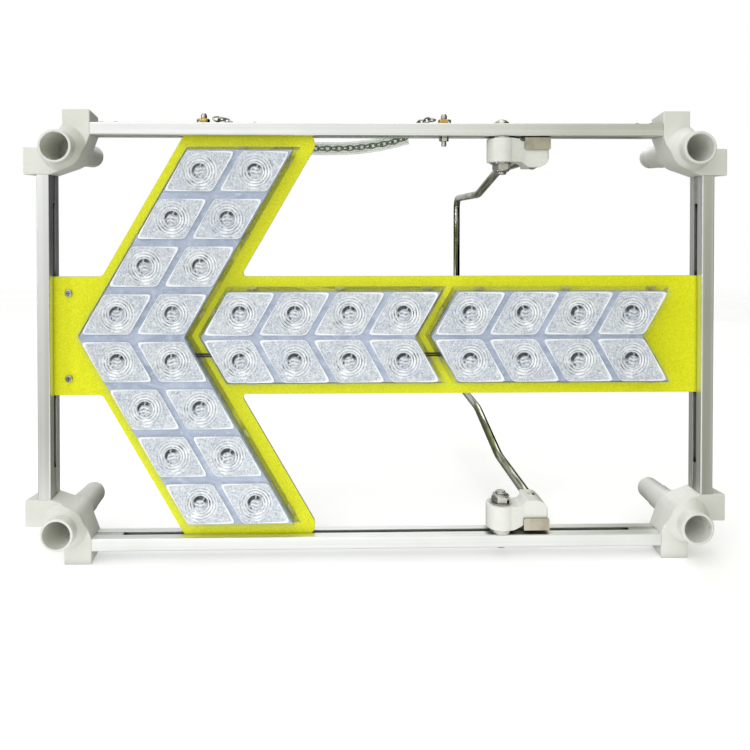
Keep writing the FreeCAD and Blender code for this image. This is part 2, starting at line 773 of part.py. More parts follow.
def cable_gland():
    """A gland in the case's lower wall: thread, hexagon and domed nut, open through its middle."""
    face = -CASE_HALF_H
    top = Vector(GLAND_X, GLAND_Y, face)
    thread = cylinder(top - Z_AXIS, Z_AXIS, CASE_WALL + 3.0, 5.0)
    collar = hexagon(top, -Z_AXIS, 14.0, 4.0)
    nut_profile = [(0, 4.0), (6.6, 4.0), (6.6, 12.0), (5.2, 15.0), (0, 15.0)]
    nut = revolved(nut_profile, top, -Z_AXIS)
    inner_nut = hexagon(top + Z_AXIS * CASE_WALL, Z_AXIS, 13.0, 2.5)
    bore = cylinder(top - Z_AXIS * 16, Z_AXIS, 24.0, GLAND_BORE)
    return thread.fuse([collar, nut, inner_nut]).cut(bore)


# ---- stand ----
def stand_rod():
    """Two legs joined by a crossbar; each leg jogs inwards half way along."""
    upper = [
        (ROD_START_Y, ROD_LEVEL),
        (ROD_JOG_START, ROD_LEVEL),
        (ROD_JOG_END, ROD_LEVEL_FAR),
        (ROD_CROSSBAR_Y, ROD_LEVEL_FAR),
    ]
    lower = [(y, -level) for y, level in reversed(upper)]
    points = [Vector(ROD_X, y, level + ROD_LIFT) for y, level in upper + lower]
    radii = [ROD_JOG_RADIUS, ROD_JOG_RADIUS, ROD_BEND_RADIUS]
    radii += list(reversed(radii))
    return tube_along(bent_path(points, radii), ROD_RADIUS)


def upper_rod_pin():
    """A pin down through the upper bracket's lobe and the rod's end, with a small head."""
    length = LOBE_OUTER - LOBE_INNER + 0.5
    pin = cylinder(Vector(ROD_X, ROD_PIN_Y, LOBE_INNER - 0.5), Z_AXIS, length, ROD_PIN_RADIUS)
    head = dome(Vector(ROD_X, ROD_PIN_Y, LOBE_INNER), -Z_AXIS, ROD_PIN_RADIUS + 1.5, 1.6)
    return pin.fuse(head)


def upper_keeper():
    """A bent stainless plate on the outer side of the lobe, its lip turned down at the front."""
    front = LOBE_FRONT - KEEPER
    lip = box(KEEPER_LEFT, KEEPER_RIGHT, front, LOBE_FRONT, KEEPER_INNER, KEEPER_OUTER)
    upright = [
        e
        for e in lip.Edges
        if e.BoundBox.YLength > 1 and e.BoundBox.XLength < 1e-6 and e.BoundBox.ZMax < KEEPER_OUTER - 1
    ]
    lip = lip.makeFillet(2.0, upright)
    web_end = LOBE_BACK - 12.0
    web = box(KEEPER_LEFT, KEEPER_RIGHT, front, web_end, KEEPER_OUTER - KEEPER, KEEPER_OUTER)
    keeper = lip.fuse(web).removeSplitter()
    along = [e for e in keeper.Edges if e.BoundBox.XLength > 5 and e.BoundBox.YMax < front + 1e-6]
    bend = [e for e in along if e.BoundBox.ZMin > KEEPER_OUTER - 1e-6]
    return keeper.makeFillet(1.2, bend)


def bracket_plan():
    """The upper bracket's arm and lobe seen from above."""
    points = [
        (PIVOT_X, PIVOT_Y - BOSS_RADIUS + 0.6),
        (LOBE_LEFT, LOBE_FRONT),
        (LOBE_RIGHT, LOBE_FRONT),
        (LOBE_RIGHT, PIVOT_Y),
        (LOBE_NECK_RIGHT, LOBE_BACK),
        (LOBE_NECK_LEFT, LOBE_BACK),
        (LOBE_LEFT, PIVOT_Y + BOSS_RADIUS - 4.0),
        (PIVOT_X, PIVOT_Y + BOSS_RADIUS - 0.6),
    ]
    radii = [0, 20.0, 3.0, 10.0, 2.0, 2.0, 4.0, 0]
    low = LOBE_INNER - 1.0
    plan = prism([(px, -py) for px, py in points], radii, low, BOSS_OUTER + 1.0)
    plan.rotate(Vector(0, 0, 0), X_AXIS, 90)
    return plan


def bracket_elevation():
    """The same seen from the front: a deep arm that falls to a round lobe."""
    inner = BOSS_INNER + BOSS_STEP
    outer = BOSS_OUTER - BOSS_STEP
    points = [
        (PIVOT_X - 1.0, inner),
        (ARM_THROAT_X, inner),
        (LOBE_LEFT + 3.0, LOBE_INNER),
        (LOBE_RIGHT, LOBE_INNER),
        (LOBE_RIGHT, ARM_OUTER),
        (LOBE_LEFT, ARM_OUTER),
        (ARM_ROOT_X, outer),
        (PIVOT_X - 1.0, outer),
    ]
    radii = [0, 9.0, 7.0, 14.0, 2.0, 14.0, 14.0, 0]
    return prism(points, radii, PIVOT_Y - BOSS_RADIUS - 1.0, LOBE_BACK + 1.0)


def upper_bracket():
    """The upper stand bracket: a boss on the pivot, an arm and a lobe that holds the rod's end."""
    boss = cylinder(Vector(PIVOT_X, PIVOT_Y, BOSS_INNER), Z_AXIS, BOSS_OUTER - BOSS_INNER, BOSS_RADIUS)
    rims = [e for e in boss.Edges if e.BoundBox.ZLength < 1e-6]
    boss = boss.makeFillet(1.5, rims)
    arm = bracket_plan().common(bracket_elevation()).removeSplitter()
    bore_radius = PIVOT_RADIUS + PIVOT_RUNNING_GAP
    bore_length = BOSS_OUTER - BOSS_INNER + 2
    bore = cylinder(Vector(PIVOT_X, PIVOT_Y, BOSS_INNER - 1), Z_AXIS, bore_length, bore_radius)
    return boss.fuse(arm).cut(bore)


def pivot(lift):
    """(bolt, nut, washers) at the top rail, for a bracket raised by lift; the head is outside the rail."""
    boss_inner = BOSS_INNER + lift
    boss_outer = BOSS_OUTER + lift
    bolt_tip = boss_inner - BOLT_TIP_REACH
    head_base = Vector(PIVOT_X, PIVOT_Y, HALF_H)
    head = dome(head_base, Z_AXIS, BOLT_HEAD_RADIUS, BOLT_HEAD_HEIGHT)
    recess = hexagon(head_base + Z_AXIS * 3.0, Z_AXIS, 8.0, BOLT_HEAD_HEIGHT)
    shank = cylinder(Vector(PIVOT_X, PIVOT_Y, bolt_tip), Z_AXIS, HALF_H - bolt_tip, PIVOT_RADIUS)
    tip = [e for e in shank.Edges if e.BoundBox.ZMax < bolt_tip + 1e-6]
    bolt = shank.makeChamfer(1.0, tip).fuse(head.cut(recess))
    washer_gap = 0.3
    nut_top = boss_inner - washer_gap - NUT_WASHER
    lower = cylinder(Vector(PIVOT_X, PIVOT_Y, nut_top), Z_AXIS, NUT_WASHER, WASHER_RADIUS)
    upper_base = Vector(PIVOT_X, PIVOT_Y, boss_outer + washer_gap)
    upper = cylinder(upper_base, Z_AXIS, INNER_H - upper_base.z, WASHER_RADIUS + 2)
    nut_base = Vector(PIVOT_X, PIVOT_Y, nut_top - NUT_HEIGHT)
    collar_radius = NUT_ACROSS / 2 - 0.3
    collar_profile = [
        (0, -0.5),
        (collar_radius, -0.5),
        (collar_radius, COLLAR_HEIGHT * 0.4),
        (collar_radius - 1.9, COLLAR_HEIGHT),
        (0, COLLAR_HEIGHT),
    ]
    collar = revolved(collar_profile, nut_base, -Z_AXIS)
    wide = NUT_ACROSS / 2 + 2.5
    cone = revolved([(0, 0), (NUT_ACROSS / 2, 0), (wide, 1.4), (wide, 30), (0, 30)], nut_base, Z_AXIS)
    nut = hexagon(nut_base, Z_AXIS, NUT_ACROSS, NUT_HEIGHT).common(cone).fuse(collar)
    return bolt, nut.cut(bolt), [lower.cut(bolt), upper.cut(bolt)]


# ---- chain handle ----
def chain_route():
    half = [Vector(HANDLE_X + dx, y, z) for dx, y, z in CHAIN_HALF_ROUTE]
    low = Vector(HANDLE_X + CHAIN_LOW_POINT[0], CHAIN_LOW_POINT[1], CHAIN_LOW_POINT[2])
    other = [Vector(HANDLE_X - dx, y, z) for dx, y, z in reversed(CHAIN_HALF_ROUTE)]
    return half + [low] + other


def route_radii(points):
    """Each bend is as large as its two runs allow."""
    radii = []
    for before, here, after in zip(points, points[1:], points[2:]):
        back, on = before - here, after - here
        half = back.getAngle(on) / 2
        radii.append(0.45 * min(back.Length, on.Length) * math.tan(half))
    return radii


def chain_path():
    points = chain_route()
    radii = route_radii(points)
    wire = bent_path(points, radii)
    print("chain length", round(wire.Length, 1), "bend radii", [round(r) for r in radii])
    return wire


def sleeve_path():
    route = chain_route()
    points = route[SLEEVE_FIRST:-SLEEVE_FIRST]
    radii = route_radii(route)[SLEEVE_FIRST:-SLEEVE_FIRST]
    points[0] = points[0] + (points[1] - points[0]).normalize() * SLEEVE_SET_BACK
    points[-1] = points[-1] + (points[-2] - points[-1]).normalize() * SLEEVE_SET_BACK
    wire = bent_path(points, radii)
    print("sleeve length", round(wire.Length, 1))
    return wire


def sleeve_tube():
    path = sleeve_path()
    return tube_along(path, SLEEVE_OUTER_RADIUS).cut(tube_along(path, SLEEVE_INNER_RADIUS))


def anchor_bolt(x, bottom):
    """A bolt up through the rail and the brass lug, with a round knob for a head."""
    knob_base = HALF_H + ANCHOR_HEIGHT
    shank = cylinder(Vector(x, MID_DEPTH, bottom), Z_AXIS, knob_base - bottom, ANCHOR_BOLT_RADIUS)
    profile = [(0, 0), (3.3, 0), (3.6, 1.0), (3.6, 4.0), (2.7, 6.1), (0, 7.0)]
    return shank.fuse(revolved(profile, Vector(x, MID_DEPTH, knob_base), Z_AXIS))


def brass_anchor(x, outward):
    """A brass lug flat on the rail, longer on its outward side, with a cross hole near that end."""
    near = x - outward * 7.0
    far = x + outward * 8.5
    points = [(near, -5.0), (far, -5.0), (far, 5.0), (near, 5.0)]
    if outward < 0:
        points.reverse()
    lug = prism(points, [4.9] * 4, 0, ANCHOR_HEIGHT)
    lug.rotate(Vector(0, 0, 0), X_AXIS, 90)
    lug.translate(Vector(0, MID_DEPTH, HALF_H))
    rim = [e for e in lug.Edges if e.BoundBox.ZMin > HALF_H + ANCHOR_HEIGHT - 1e-6]
    lug = lug.makeFillet(1.5, rim)
    hole_x = x + outward * 5.7
    return lug.cut(cylinder(Vector(hole_x, 0, HALF_H + ANCHOR_HEIGHT / 2), Y_AXIS, RAIL_DEPTH, 1.5))


# ---- assembly ----
def cut_by(shape, tools):
    for tool in tools:
        shape = shape.cut(tool)
    return shape


def build():
    nodes = {}

    corner_keys = []
    grubs = []
    for key, along_x in ((key_along_x(), True), (key_along_z(), False)):
        screws = grub_screws(along_x)
        corner_keys.append(cut_by(key, screws))
        grubs += screws

    buttons = []
    for place in BUTTON_PLACES:
        base = Vector(BAR_X - place, MID_DEPTH, HALF_H)
        buttons.append(button_screw(base, Z_AXIS, 4.75, 2.7, 2.1, RAIL_FACE - 4.5))
    corner_keys[0] = cut_by(corner_keys[0], buttons)

    def four(shapes):
        right = shapes + [mirror_z(s) for s in shapes]
        return right + [mirror_x(s) for s in right]

    nodes["corner_keys"] = four(corner_keys)
    nodes["corner_key_screws"] = four(grubs)
    nodes["corner_button_screws"] = four(buttons)

    corner = corner_body()
    hole = cylinder(Vector(TUBE_X, TUBE_FRONT + 7, -TUBE_Z), X_AXIS, TUBE_RADIUS + 2, TETHER_HOLE_RADIUS)
    nodes["corner_top_right"] = [corner]
    nodes["corner_top_left"] = [mirror_x(corner)]
    nodes["corner_bottom_right"] = [mirror_z(corner).cut(hole)]
    nodes["corner_bottom_left"] = [mirror_x(mirror_z(corner))]

    upper_bolt, upper_nut, upper_washers = pivot(STAND_LIFT)
    lower_bolt, lower_nut, lower_washers = pivot(-STAND_LIFT)
    pivot_bolts = [upper_bolt, mirror_z(lower_bolt)]
    nodes["pivot_bolts"] = pivot_bolts
    nodes["pivot_nuts"] = [upper_nut, mirror_z(lower_nut)]
    nodes["pivot_washers"] = upper_washers + [mirror_z(w) for w in lower_washers]

    # The right bolt goes through the rail to a nut. The left one ends in the rail, above the arrow plate.
    right_x, left_x = HANDLE_X + ANCHOR_SPAN, HANDLE_X - ANCHOR_SPAN
    anchor_bolts = [anchor_bolt(right_x, INNER_H - 11.0), anchor_bolt(left_x, ARM_HALF_HEIGHT + 1.0)]
    anchor_nut = hexagon(Vector(right_x, MID_DEPTH, INNER_H - 5.0), Z_AXIS, 10.0, 5.0)
    nodes["anchor_bolts"] = anchor_bolts
    nodes["anchor_nut"] = [anchor_nut.cut(anchor_bolts[0])]
    nodes["brass_anchor_right"] = [brass_anchor(right_x, 1).cut(anchor_bolts[0])]
    nodes["brass_anchor_left"] = [brass_anchor(left_x, -1).cut(anchor_bolts[1])]

    clamp_base = Vector(CLAMP_SCREW_X, MID_DEPTH, HALF_H)
    clamp = button_screw(clamp_base, Z_AXIS, 4.75, 2.7, 2.1, HALF_H - ARM_HALF_HEIGHT)
    nodes["plate_clamp_screw"] = [clamp]

    bracket_screws = bracket_rail_screws()
    rail = cut_by(top_rail(), nodes["corner_button_screws"])
    nodes["rail_bottom"] = [cut_by(mirror_z(rail), pivot_bolts)]
    nodes["rail_top"] = [cut_by(rail, pivot_bolts + nodes["anchor_bolts"] + [clamp])]
    nodes["rail_right"] = [right_rail()]
    nodes["rail_left"] = [cut_by(mirror_x(right_rail()), bracket_screws)]

    plate_screws = end_screws()
    nodes["plate_end_screws"] = plate_screws
    nodes["plate_end_bracket"] = [cut_by(end_bracket(), plate_screws + bracket_screws)]
    nodes["bracket_rail_screws"] = bracket_screws

    screws = [s for name in MODULES for s in module_screws(name)]
    nodes["module_screws"] = screws
    nodes["arrow_plate"] = [cut_by(arrow_blank(PLATE_FRONT, PLATE_BACK), screws + plate_screws)]
    nodes["reflective_sheet"] = [cut_by(arrow_blank(SHEET_FRONT, PLATE_FRONT), screws + plate_screws)]

    wires = link_wires()
    nodes["link_wires"] = wires
    for name in MODULES:
        nodes[f"{name}_module_base"] = [cut_by(module_base(name), module_screws(name))]
        nodes[f"{name}_module_gasket"] = [module_gasket(name)]
        nodes[f"{name}_circuit_board"] = [module_board(name)]
        nodes[f"{name}_lamp_chips"] = module_leds(name)
        nodes[f"{name}_lens_cover"] = [cut_by(module_cover(name), wires)]

    lid_fixings = lid_screws()
    gland = cable_gland()
    nodes["flasher_case"] = [cut_by(flasher_case(), lid_fixings)]
    nodes["flasher_lid"] = [cut_by(flasher_lid(), lid_fixings)]
    nodes["flasher_lid_screws"] = lid_fixings
    nodes["flasher_board"] = [flasher_board()]
    nodes["cable_gland"] = [gland]

    rod = stand_rod()
    pin = upper_rod_pin()
    keeper = upper_keeper()
    bracket = cut_by(upper_bracket(), [pin, keeper])
    stand = {
        "stand_rod": [cut_by(rod, [pin, mirror_z(pin)])],
        "stand_rod_pins": [pin, mirror_z(pin)],
        "stand_bracket_upper": [bracket.cut(rod)],
        "stand_bracket_lower": [mirror_z(bracket).cut(rod)],
        "stand_keeper_upper": [keeper],
        "stand_keeper_lower": [mirror_z(keeper)],
    }
    for name, shapes in stand.items():
        nodes[name] = [shape.translated(Z_AXIS * STAND_LIFT) for shape in shapes]

    nodes["handle_chain"] = [tube_along(chain_path(), CHAIN_DIAMETER / 2)]
    nodes["handle_sleeve"] = [sleeve_tube()]
    return nodes


def main():
    os.makedirs("parts", exist_ok=True)
    for name, shapes in build().items():
        solids = [solid for shape in shapes for solid in shape.Solids]
        if len(solids) != len(shapes):
            print("check", name, "has", len(solids), "solids from", len(shapes), "pieces")
        for solid in solids:
            solid.translate(-ORIGIN)
            if not solid.isValid():
                print("check", name, "is not valid")
        Part.makeCompound(solids).exportStep(f"parts/{name}.step")


main()
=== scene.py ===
import math
import random

import bmesh
import bpy
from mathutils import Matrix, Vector


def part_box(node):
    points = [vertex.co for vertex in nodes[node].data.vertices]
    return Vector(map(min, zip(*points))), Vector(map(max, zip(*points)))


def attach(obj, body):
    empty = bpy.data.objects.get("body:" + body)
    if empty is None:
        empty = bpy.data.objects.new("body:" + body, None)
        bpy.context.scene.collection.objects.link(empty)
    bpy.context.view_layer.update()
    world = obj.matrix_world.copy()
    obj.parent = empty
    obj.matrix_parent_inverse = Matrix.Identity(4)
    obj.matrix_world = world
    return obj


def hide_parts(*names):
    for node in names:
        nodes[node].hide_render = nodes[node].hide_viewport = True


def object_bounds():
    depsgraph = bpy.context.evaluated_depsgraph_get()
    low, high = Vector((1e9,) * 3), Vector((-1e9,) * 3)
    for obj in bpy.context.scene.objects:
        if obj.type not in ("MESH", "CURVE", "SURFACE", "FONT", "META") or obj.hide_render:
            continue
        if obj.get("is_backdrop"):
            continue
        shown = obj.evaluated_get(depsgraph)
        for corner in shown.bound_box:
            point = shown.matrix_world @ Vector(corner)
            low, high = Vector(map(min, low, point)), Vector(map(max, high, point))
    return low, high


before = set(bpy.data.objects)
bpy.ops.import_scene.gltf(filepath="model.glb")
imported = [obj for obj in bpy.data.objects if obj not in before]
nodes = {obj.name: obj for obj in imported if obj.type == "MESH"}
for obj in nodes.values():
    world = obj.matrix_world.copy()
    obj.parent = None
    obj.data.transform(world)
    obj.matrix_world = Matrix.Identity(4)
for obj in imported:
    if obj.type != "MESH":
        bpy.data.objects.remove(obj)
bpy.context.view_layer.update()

# A lamp arrow board in its frame, seen square on. Lengths below are in millimetres about the board's own
# middle, as the CAD draws it: X right, Y back from the rails' front faces, Z up. place() turns them into
# the row frame.
MM = 0.001
LEFT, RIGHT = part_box("rail_left")[0].x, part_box("rail_right")[1].x
BOTTOM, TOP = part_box("rail_bottom")[0].z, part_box("rail_top")[1].z
MIDDLE = Vector(((LEFT + RIGHT) / 2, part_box("rail_top")[0].y, (BOTTOM + TOP) / 2))


def place(x, y, z):
    return MIDDLE + Vector((x, y, z)) * MM


# ---- node materials ----
def colour(red, green, blue):
    """Screen values from 0 to 255 as a linear colour."""
    linear = []
    for value in (red, green, blue):
        v = value / 255
        linear.append(v / 12.92 if v <= 0.04045 else ((v + 0.055) / 1.055) ** 2.4)
    return (*linear, 1.0)


# A Mix node's colour sockets share their names with its number sockets, so they are reached by index.
MIX_A, MIX_B, MIX_RESULT = 6, 7, 2


class Nodes:
    """Helpers that add and join the nodes of one tree."""

    def __init__(self, tree):
        self.tree = tree

    def add(self, kind, **settings):
        node = self.tree.nodes.new(kind)
        for setting, value in settings.items():
            setattr(node, setting, value)
        return node

    def feed(self, value, socket):
        """Links a socket, or sets a plain value."""
        if isinstance(value, bpy.types.NodeSocket):
            self.tree.links.new(value, socket)
        else:
            socket.default_value = value

    def span(self, value, low, high, to_low=0.0, to_high=1.0):
        """Eases from to_low to to_high while value goes from low to high."""
        node = self.add("ShaderNodeMapRange", interpolation_type="SMOOTHSTEP")
        self.feed(value, node.inputs["Value"])
        for socket, number in zip(("From Min", "From Max", "To Min", "To Max"), (low, high, to_low, to_high)):
            node.inputs[socket].default_value = number
        return node.outputs["Result"]

    def calc(self, a, b, operation="ADD"):
        node = self.add("ShaderNodeMath", operation=operation)
        self.feed(a, node.inputs[0])
        self.feed(b, node.inputs[1])
        return node.outputs["Value"]

    def mix(self, factor, a, b):
        node = self.add("ShaderNodeMix", data_type="RGBA")
        self.feed(factor, node.inputs[0])
        self.feed(a, node.inputs[MIX_A])
        self.feed(b, node.inputs[MIX_B])
        return node.outputs[MIX_RESULT]


class Look(Nodes):
    """One node material built round a Principled shader, with noise measured in the object's own metres."""

    def __init__(self, name, roughness=0.5, metallic=0.0, **fixed):
        self.material = bpy.data.materials.new(name)
        self.material.use_nodes = True
        super().__init__(self.material.node_tree)
        self.shader = self.tree.nodes["Principled BSDF"]
        self.output = self.tree.nodes["Material Output"]
        self.shader.inputs["Roughness"].default_value = roughness
        self.shader.inputs["Metallic"].default_value = metallic
        for socket, value in fixed.items():
            self.shader.inputs[socket.replace("_", " ")].default_value = value
        self.object_place = self.add("ShaderNodeTexCoord").outputs["Object"]

    def stretched(self, stretch):
        mapping = self.add("ShaderNodeMapping")
        mapping.inputs["Scale"].default_value = stretch
        self.feed(self.object_place, mapping.inputs["Vector"])
        return mapping.outputs["Vector"]

    def noise(self, scale, stretch=(1, 1, 1), detail=4.0, rough=0.55, warp=0.0):
        node = self.add("ShaderNodeTexNoise")
        node.inputs["Scale"].default_value = scale
        node.inputs["Detail"].default_value = detail
        node.inputs["Roughness"].default_value = rough
        node.inputs["Distortion"].default_value = warp
        self.feed(self.stretched(stretch), node.inputs["Vector"])
        return node.outputs["Fac"]

    def cells(self, scale):
        """Distance to the nearest wall of a field of cells."""
        node = self.add("ShaderNodeTexVoronoi", feature="DISTANCE_TO_EDGE")
        node.inputs["Scale"].default_value = scale
        self.feed(self.stretched((1, 1, 1)), node.inputs["Vector"])
        return node.outputs["Distance"]

    def attribute(self, name):
        return self.add("ShaderNodeAttribute", attribute_name=name).outputs["Fac"]

    def edges(self, radius, low=0.02, high=0.25):
        """1 on convex and concave edges within radius millimetres, 0 on open faces."""
        bevel = self.add("ShaderNodeBevel", samples=4)
        bevel.inputs["Radius"].default_value = radius * MM
        plain = self.add("ShaderNodeNewGeometry").outputs["Normal"]
        dot = self.add("ShaderNodeVectorMath", operation="DOT_PRODUCT")
        self.feed(bevel.outputs["Normal"], dot.inputs[0])
        self.feed(plain, dot.inputs[1])
        return self.span(self.calc(1.0, dot.outputs["Value"], "SUBTRACT"), low, high)

    def hollows(self, reach, low=0.35, high=0.9):
        """1 in corners and recesses within reach millimetres: the mask for painted shade in hollows."""
        node = self.add("ShaderNodeAmbientOcclusion", samples=4)
        node.inputs["Distance"].default_value = reach * MM
        return self.span(node.outputs["AO"], low, high, 1.0, 0.0)

    def paint(self, value):
        self.feed(value, self.shader.inputs["Base Color"])

    def roughen(self, value, low, high):
        self.feed(self.span(value, 0.25, 0.75, low, high), self.shader.inputs["Roughness"])

    def bump(self, height, depth, strength, rounding=0.0):
        """Fine relief; rounding also softens the sharp edges of the mesh by that many millimetres."""
        node = self.add("ShaderNodeBump")
        if rounding:
            bevel = self.add("ShaderNodeBevel", samples=6)
            bevel.inputs["Radius"].default_value = rounding * MM
            self.feed(bevel.outputs["Normal"], node.inputs["Normal"])
        node.inputs["Distance"].default_value = depth * MM
        node.inputs["Strength"].default_value = strength
        self.feed(height, node.inputs["Height"])
        self.feed(node.outputs["Normal"], self.shader.inputs["Normal"])

    def see_through(self, factor):
        """Lets light straight through by factor, as thin clear plastic does."""
        clear = self.add("ShaderNodeBsdfTransparent")
        mixer = self.add("ShaderNodeMixShader")
        self.feed(factor, mixer.inputs["Fac"])
        self.feed(self.shader.outputs["BSDF"], mixer.inputs[1])
        self.feed(clear.outputs["BSDF"], mixer.inputs[2])
        self.feed(mixer.outputs["Shader"], self.output.inputs["Surface"])
        return clear


def extruded_aluminium(name, stretch):
    """Satin anodised extrusion: fine die lines along its length, painted olive shade in its slots and
    hollows, and a painted highlight on its edges.
    """
    look = Look(name, metallic=0.9, Specular_IOR_Level=0.5)
    lines = look.noise(60, stretch, detail=6)
    clouds = look.noise(9, detail=3)
    base = look.mix(look.span(lines, 0.3, 0.7), colour(222, 224, 222), colour(238, 239, 238))
    base = look.mix(look.span(clouds, 0.45, 0.75, 0, 0.35), base, colour(208, 210, 204))
    # Painted shade: dark olive in the slots and hollows.
    base = look.mix(look.hollows(9), base, colour(98, 98, 66))
    # Painted highlight along the edges.
    base = look.mix(look.edges(0.8), base, colour(240, 241, 240))
    look.paint(base)
    look.roughen(lines, 0.3, 0.44)
    look.bump(lines, 0.02, 0.35, rounding=0.6)
    return look.material


def white_moulding():
    """Glossy-satin white nylon with moulding flow, faint scuffs, painted grey shade in its hollows and a
    painted highlight on its edges.
    """
    look = Look("white_moulding", Specular_IOR_Level=0.5, Subsurface_Weight=0.06, Subsurface_Scale=0.004)
    look.shader.inputs["Subsurface Radius"].default_value = (1.0, 1.0, 0.9)
    flow = look.noise(22, detail=5, warp=0.6)
    grain = look.noise(900, detail=2)
    scuffs = look.noise(70, (1, 1, 5), detail=6)
    base = look.mix(look.span(flow, 0.35, 0.7), colour(232, 233, 227), colour(225, 226, 219))
    # Painted shade: grey in the hollows.
    base = look.mix(look.hollows(14, 0.2, 0.85), base, colour(186, 188, 182))
    base = look.mix(look.span(scuffs, 0.64, 0.74, 0, 0.4), base, colour(200, 199, 190))
    # Painted highlight on the edges.
    base = look.mix(look.edges(1.2, 0.03, 0.4), base, colour(243, 243, 240))
    look.paint(base)
    look.roughen(look.calc(flow, look.span(scuffs, 0.6, 0.75, 0, 0.3)), 0.24, 0.42)
    look.bump(grain, 0.03, 0.25, rounding=1.2)
    return look.material


def bare_metal(name, light, dark, rough, grain, edge, metallic=1.0):
    """Bare metal: two tones in noise, with painted shade in its hollows and a painted highlight on its edges.
    """
    look = Look(name, metallic=metallic)
    patches = look.noise(grain, detail=5)
    fine = look.noise(grain * 12, detail=3)
    base = look.mix(look.span(patches, 0.35, 0.68), light, dark)
    # Painted shade in the hollows.
    base = look.mix(look.hollows(6), base, tuple(c * 0.25 for c in dark[:3]) + (1.0,))
    # Painted highlight on the edges.
    base = look.mix(look.edges(0.5), base, edge)
    look.paint(base)
    look.roughen(look.calc(look.calc(patches, 0.6, "MULTIPLY"), look.calc(fine, 0.4, "MULTIPLY")), *rough)
    look.bump(fine, 0.015, 0.3)
    return look.material


def polished_rod():
    """Polished bar painted olive, as a reflection of olive surroundings, with long bright streaks of painted
    highlight, which run along its legs and its upright.
    """
    look = Look("polished_rod", metallic=1.0)
    marks = look.noise(260, (1, 1, 0.25), detail=5)
    olive_reflection = look.noise(26, detail=4, warp=1.0)
    streaks = look.noise(150, (1, 0.05, 0.05), detail=3)
    # Olive tones: a painted reflection of olive surroundings, varied by noise.
    base = look.mix(look.span(olive_reflection, 0.4, 0.66), colour(112, 122, 70), colour(84, 92, 58))
    # Long bright streaks: a painted highlight along the rod.
    base = look.mix(look.span(streaks, 0.47, 0.57), base, colour(212, 214, 204))
    base = look.mix(look.span(marks, 0.6, 0.74, 0, 0.4), base, colour(190, 192, 180))
    look.paint(base)
    look.roughen(marks, 0.1, 0.26)
    look.bump(marks, 0.02, 0.35)
    return look.material


def fluorescent_sheet():
    """Yellow-green prismatic film: small sealed cells with a mottled sparkle under a smooth clear face."""
    look = Look("fluorescent_sheet", Specular_IOR_Level=0.3, Coat_Weight=0.15, Coat_Roughness=0.12)
    cells = look.cells(520)
    sparkle = look.noise(700, detail=3, rough=0.7)
    patches = look.noise(14, detail=3)
    base = look.mix(look.span(sparkle, 0.38, 0.66), colour(214, 216, 8), colour(232, 236, 30))
    base = look.mix(look.span(sparkle, 0.36, 0.26, 0, 0.9), base, colour(176, 162, 4))
    base = look.mix(look.span(cells, 0.0, 0.09, 0.4, 0.0), base, colour(200, 206, 20))
    base = look.mix(look.span(patches, 0.4, 0.75, 0, 0.3), base, colour(214, 222, 18))
    base = look.mix(look.edges(0.6), base, colour(150, 154, 20))
    look.paint(base)
    # Emission in the sheet's own colour: a painted glow, as the film is no lamp.
    look.feed(base, look.shader.inputs["Emission Color"])
    look.shader.inputs["Emission Strength"].default_value = 0.14
    look.roughen(sparkle, 0.38, 0.55)
    look.bump(cells, 0.03, 0.4)
    return look.material


def clear_cover():
    """Thin clear polycarbonate: nearly all light goes straight through, and least at its rims."""
    look = Look("clear_lens", roughness=0.06, Specular_IOR_Level=0.5)
    haze = look.noise(40, detail=5, warp=0.8)
    look.paint(look.mix(look.span(haze, 0.3, 0.7), colour(198, 208, 228), colour(226, 232, 240)))
    rim = look.edges(0.8, 0.05, 0.4)
    clear = look.see_through(look.calc(0.985, look.calc(rim, 0.4, "MULTIPLY"), "SUBTRACT"))
    clear.inputs["Color"].default_value = (0.985, 0.99, 1.0, 1.0)
    return look.material


def lens_tile():
    """The ringed lens tiles: clear plastic over white, with painted highlights and painted shade from the
    lens_light and lens_dark layers, so the rings read as grey and white arcs, and a faint painted glow.
    """
    look = Look("lens_tile", Specular_IOR_Level=0.25, Coat_Weight=0.05, Coat_Roughness=0.05)
    haze = look.noise(55, detail=4, warp=1.2)
    ripple = look.noise(420, detail=3, warp=1.5)
    light = look.attribute("lens_light")
    dark = look.attribute("lens_dark")
    base = look.mix(look.span(haze, 0.36, 0.66), colour(184, 190, 200), colour(200, 204, 204))
    base = look.mix(look.span(ripple, 0.48, 0.62, 0, 0.85), base, colour(232, 235, 238))
    base = look.mix(look.span(ripple, 0.46, 0.34, 0, 0.6), base, colour(138, 144, 154))
    # glow lays painted highlight and shade lays painted shade over the plastic's colour.
    glow = look.calc(light, look.span(haze, 0.3, 0.6, 0.7, 1.0), "MULTIPLY")
    shade = look.calc(dark, look.span(ripple, 0.3, 0.6, 0.8, 1.0), "MULTIPLY")
    base = look.mix(glow, base, colour(255, 255, 255))
    base = look.mix(shade, base, colour(6, 7, 6))
    look.paint(base)
    # Emission in the same colours: a painted glow, as the tiles are no lamps.
    look.feed(base, look.shader.inputs["Emission Color"])
    look.shader.inputs["Emission Strength"].default_value = 0.12
    look.roughen(haze, 0.1, 0.24)
    look.bump(ripple, 0.05, 0.3)
    return look.material


def lens_floor():
    """The flat plastic between the tiles: lavender-grey with faint flow streaks."""
    look = Look("lens_floor", Specular_IOR_Level=0.7, Coat_Weight=0.4, Coat_Roughness=0.08)
    streaks = look.noise(30, (1, 1, 2.2), detail=5, warp=1.4)
    flecks = look.noise(300, detail=2)
    base = look.mix(look.span(streaks, 0.32, 0.68), colour(158, 169, 190), colour(186, 196, 214))
    base = look.mix(look.span(flecks, 0.62, 0.72, 0, 0.6), base, colour(214, 221, 232))
    look.paint(base)
    # Emission in the same colours: a painted glow, as the plate is no lamp.
    look.feed(base, look.shader.inputs["Emission Color"])
    look.shader.inputs["Emission Strength"].default_value = 0.08
    look.roughen(streaks, 0.14, 0.3)
    look.bump(streaks, 0.08, 0.3)
    return look.material


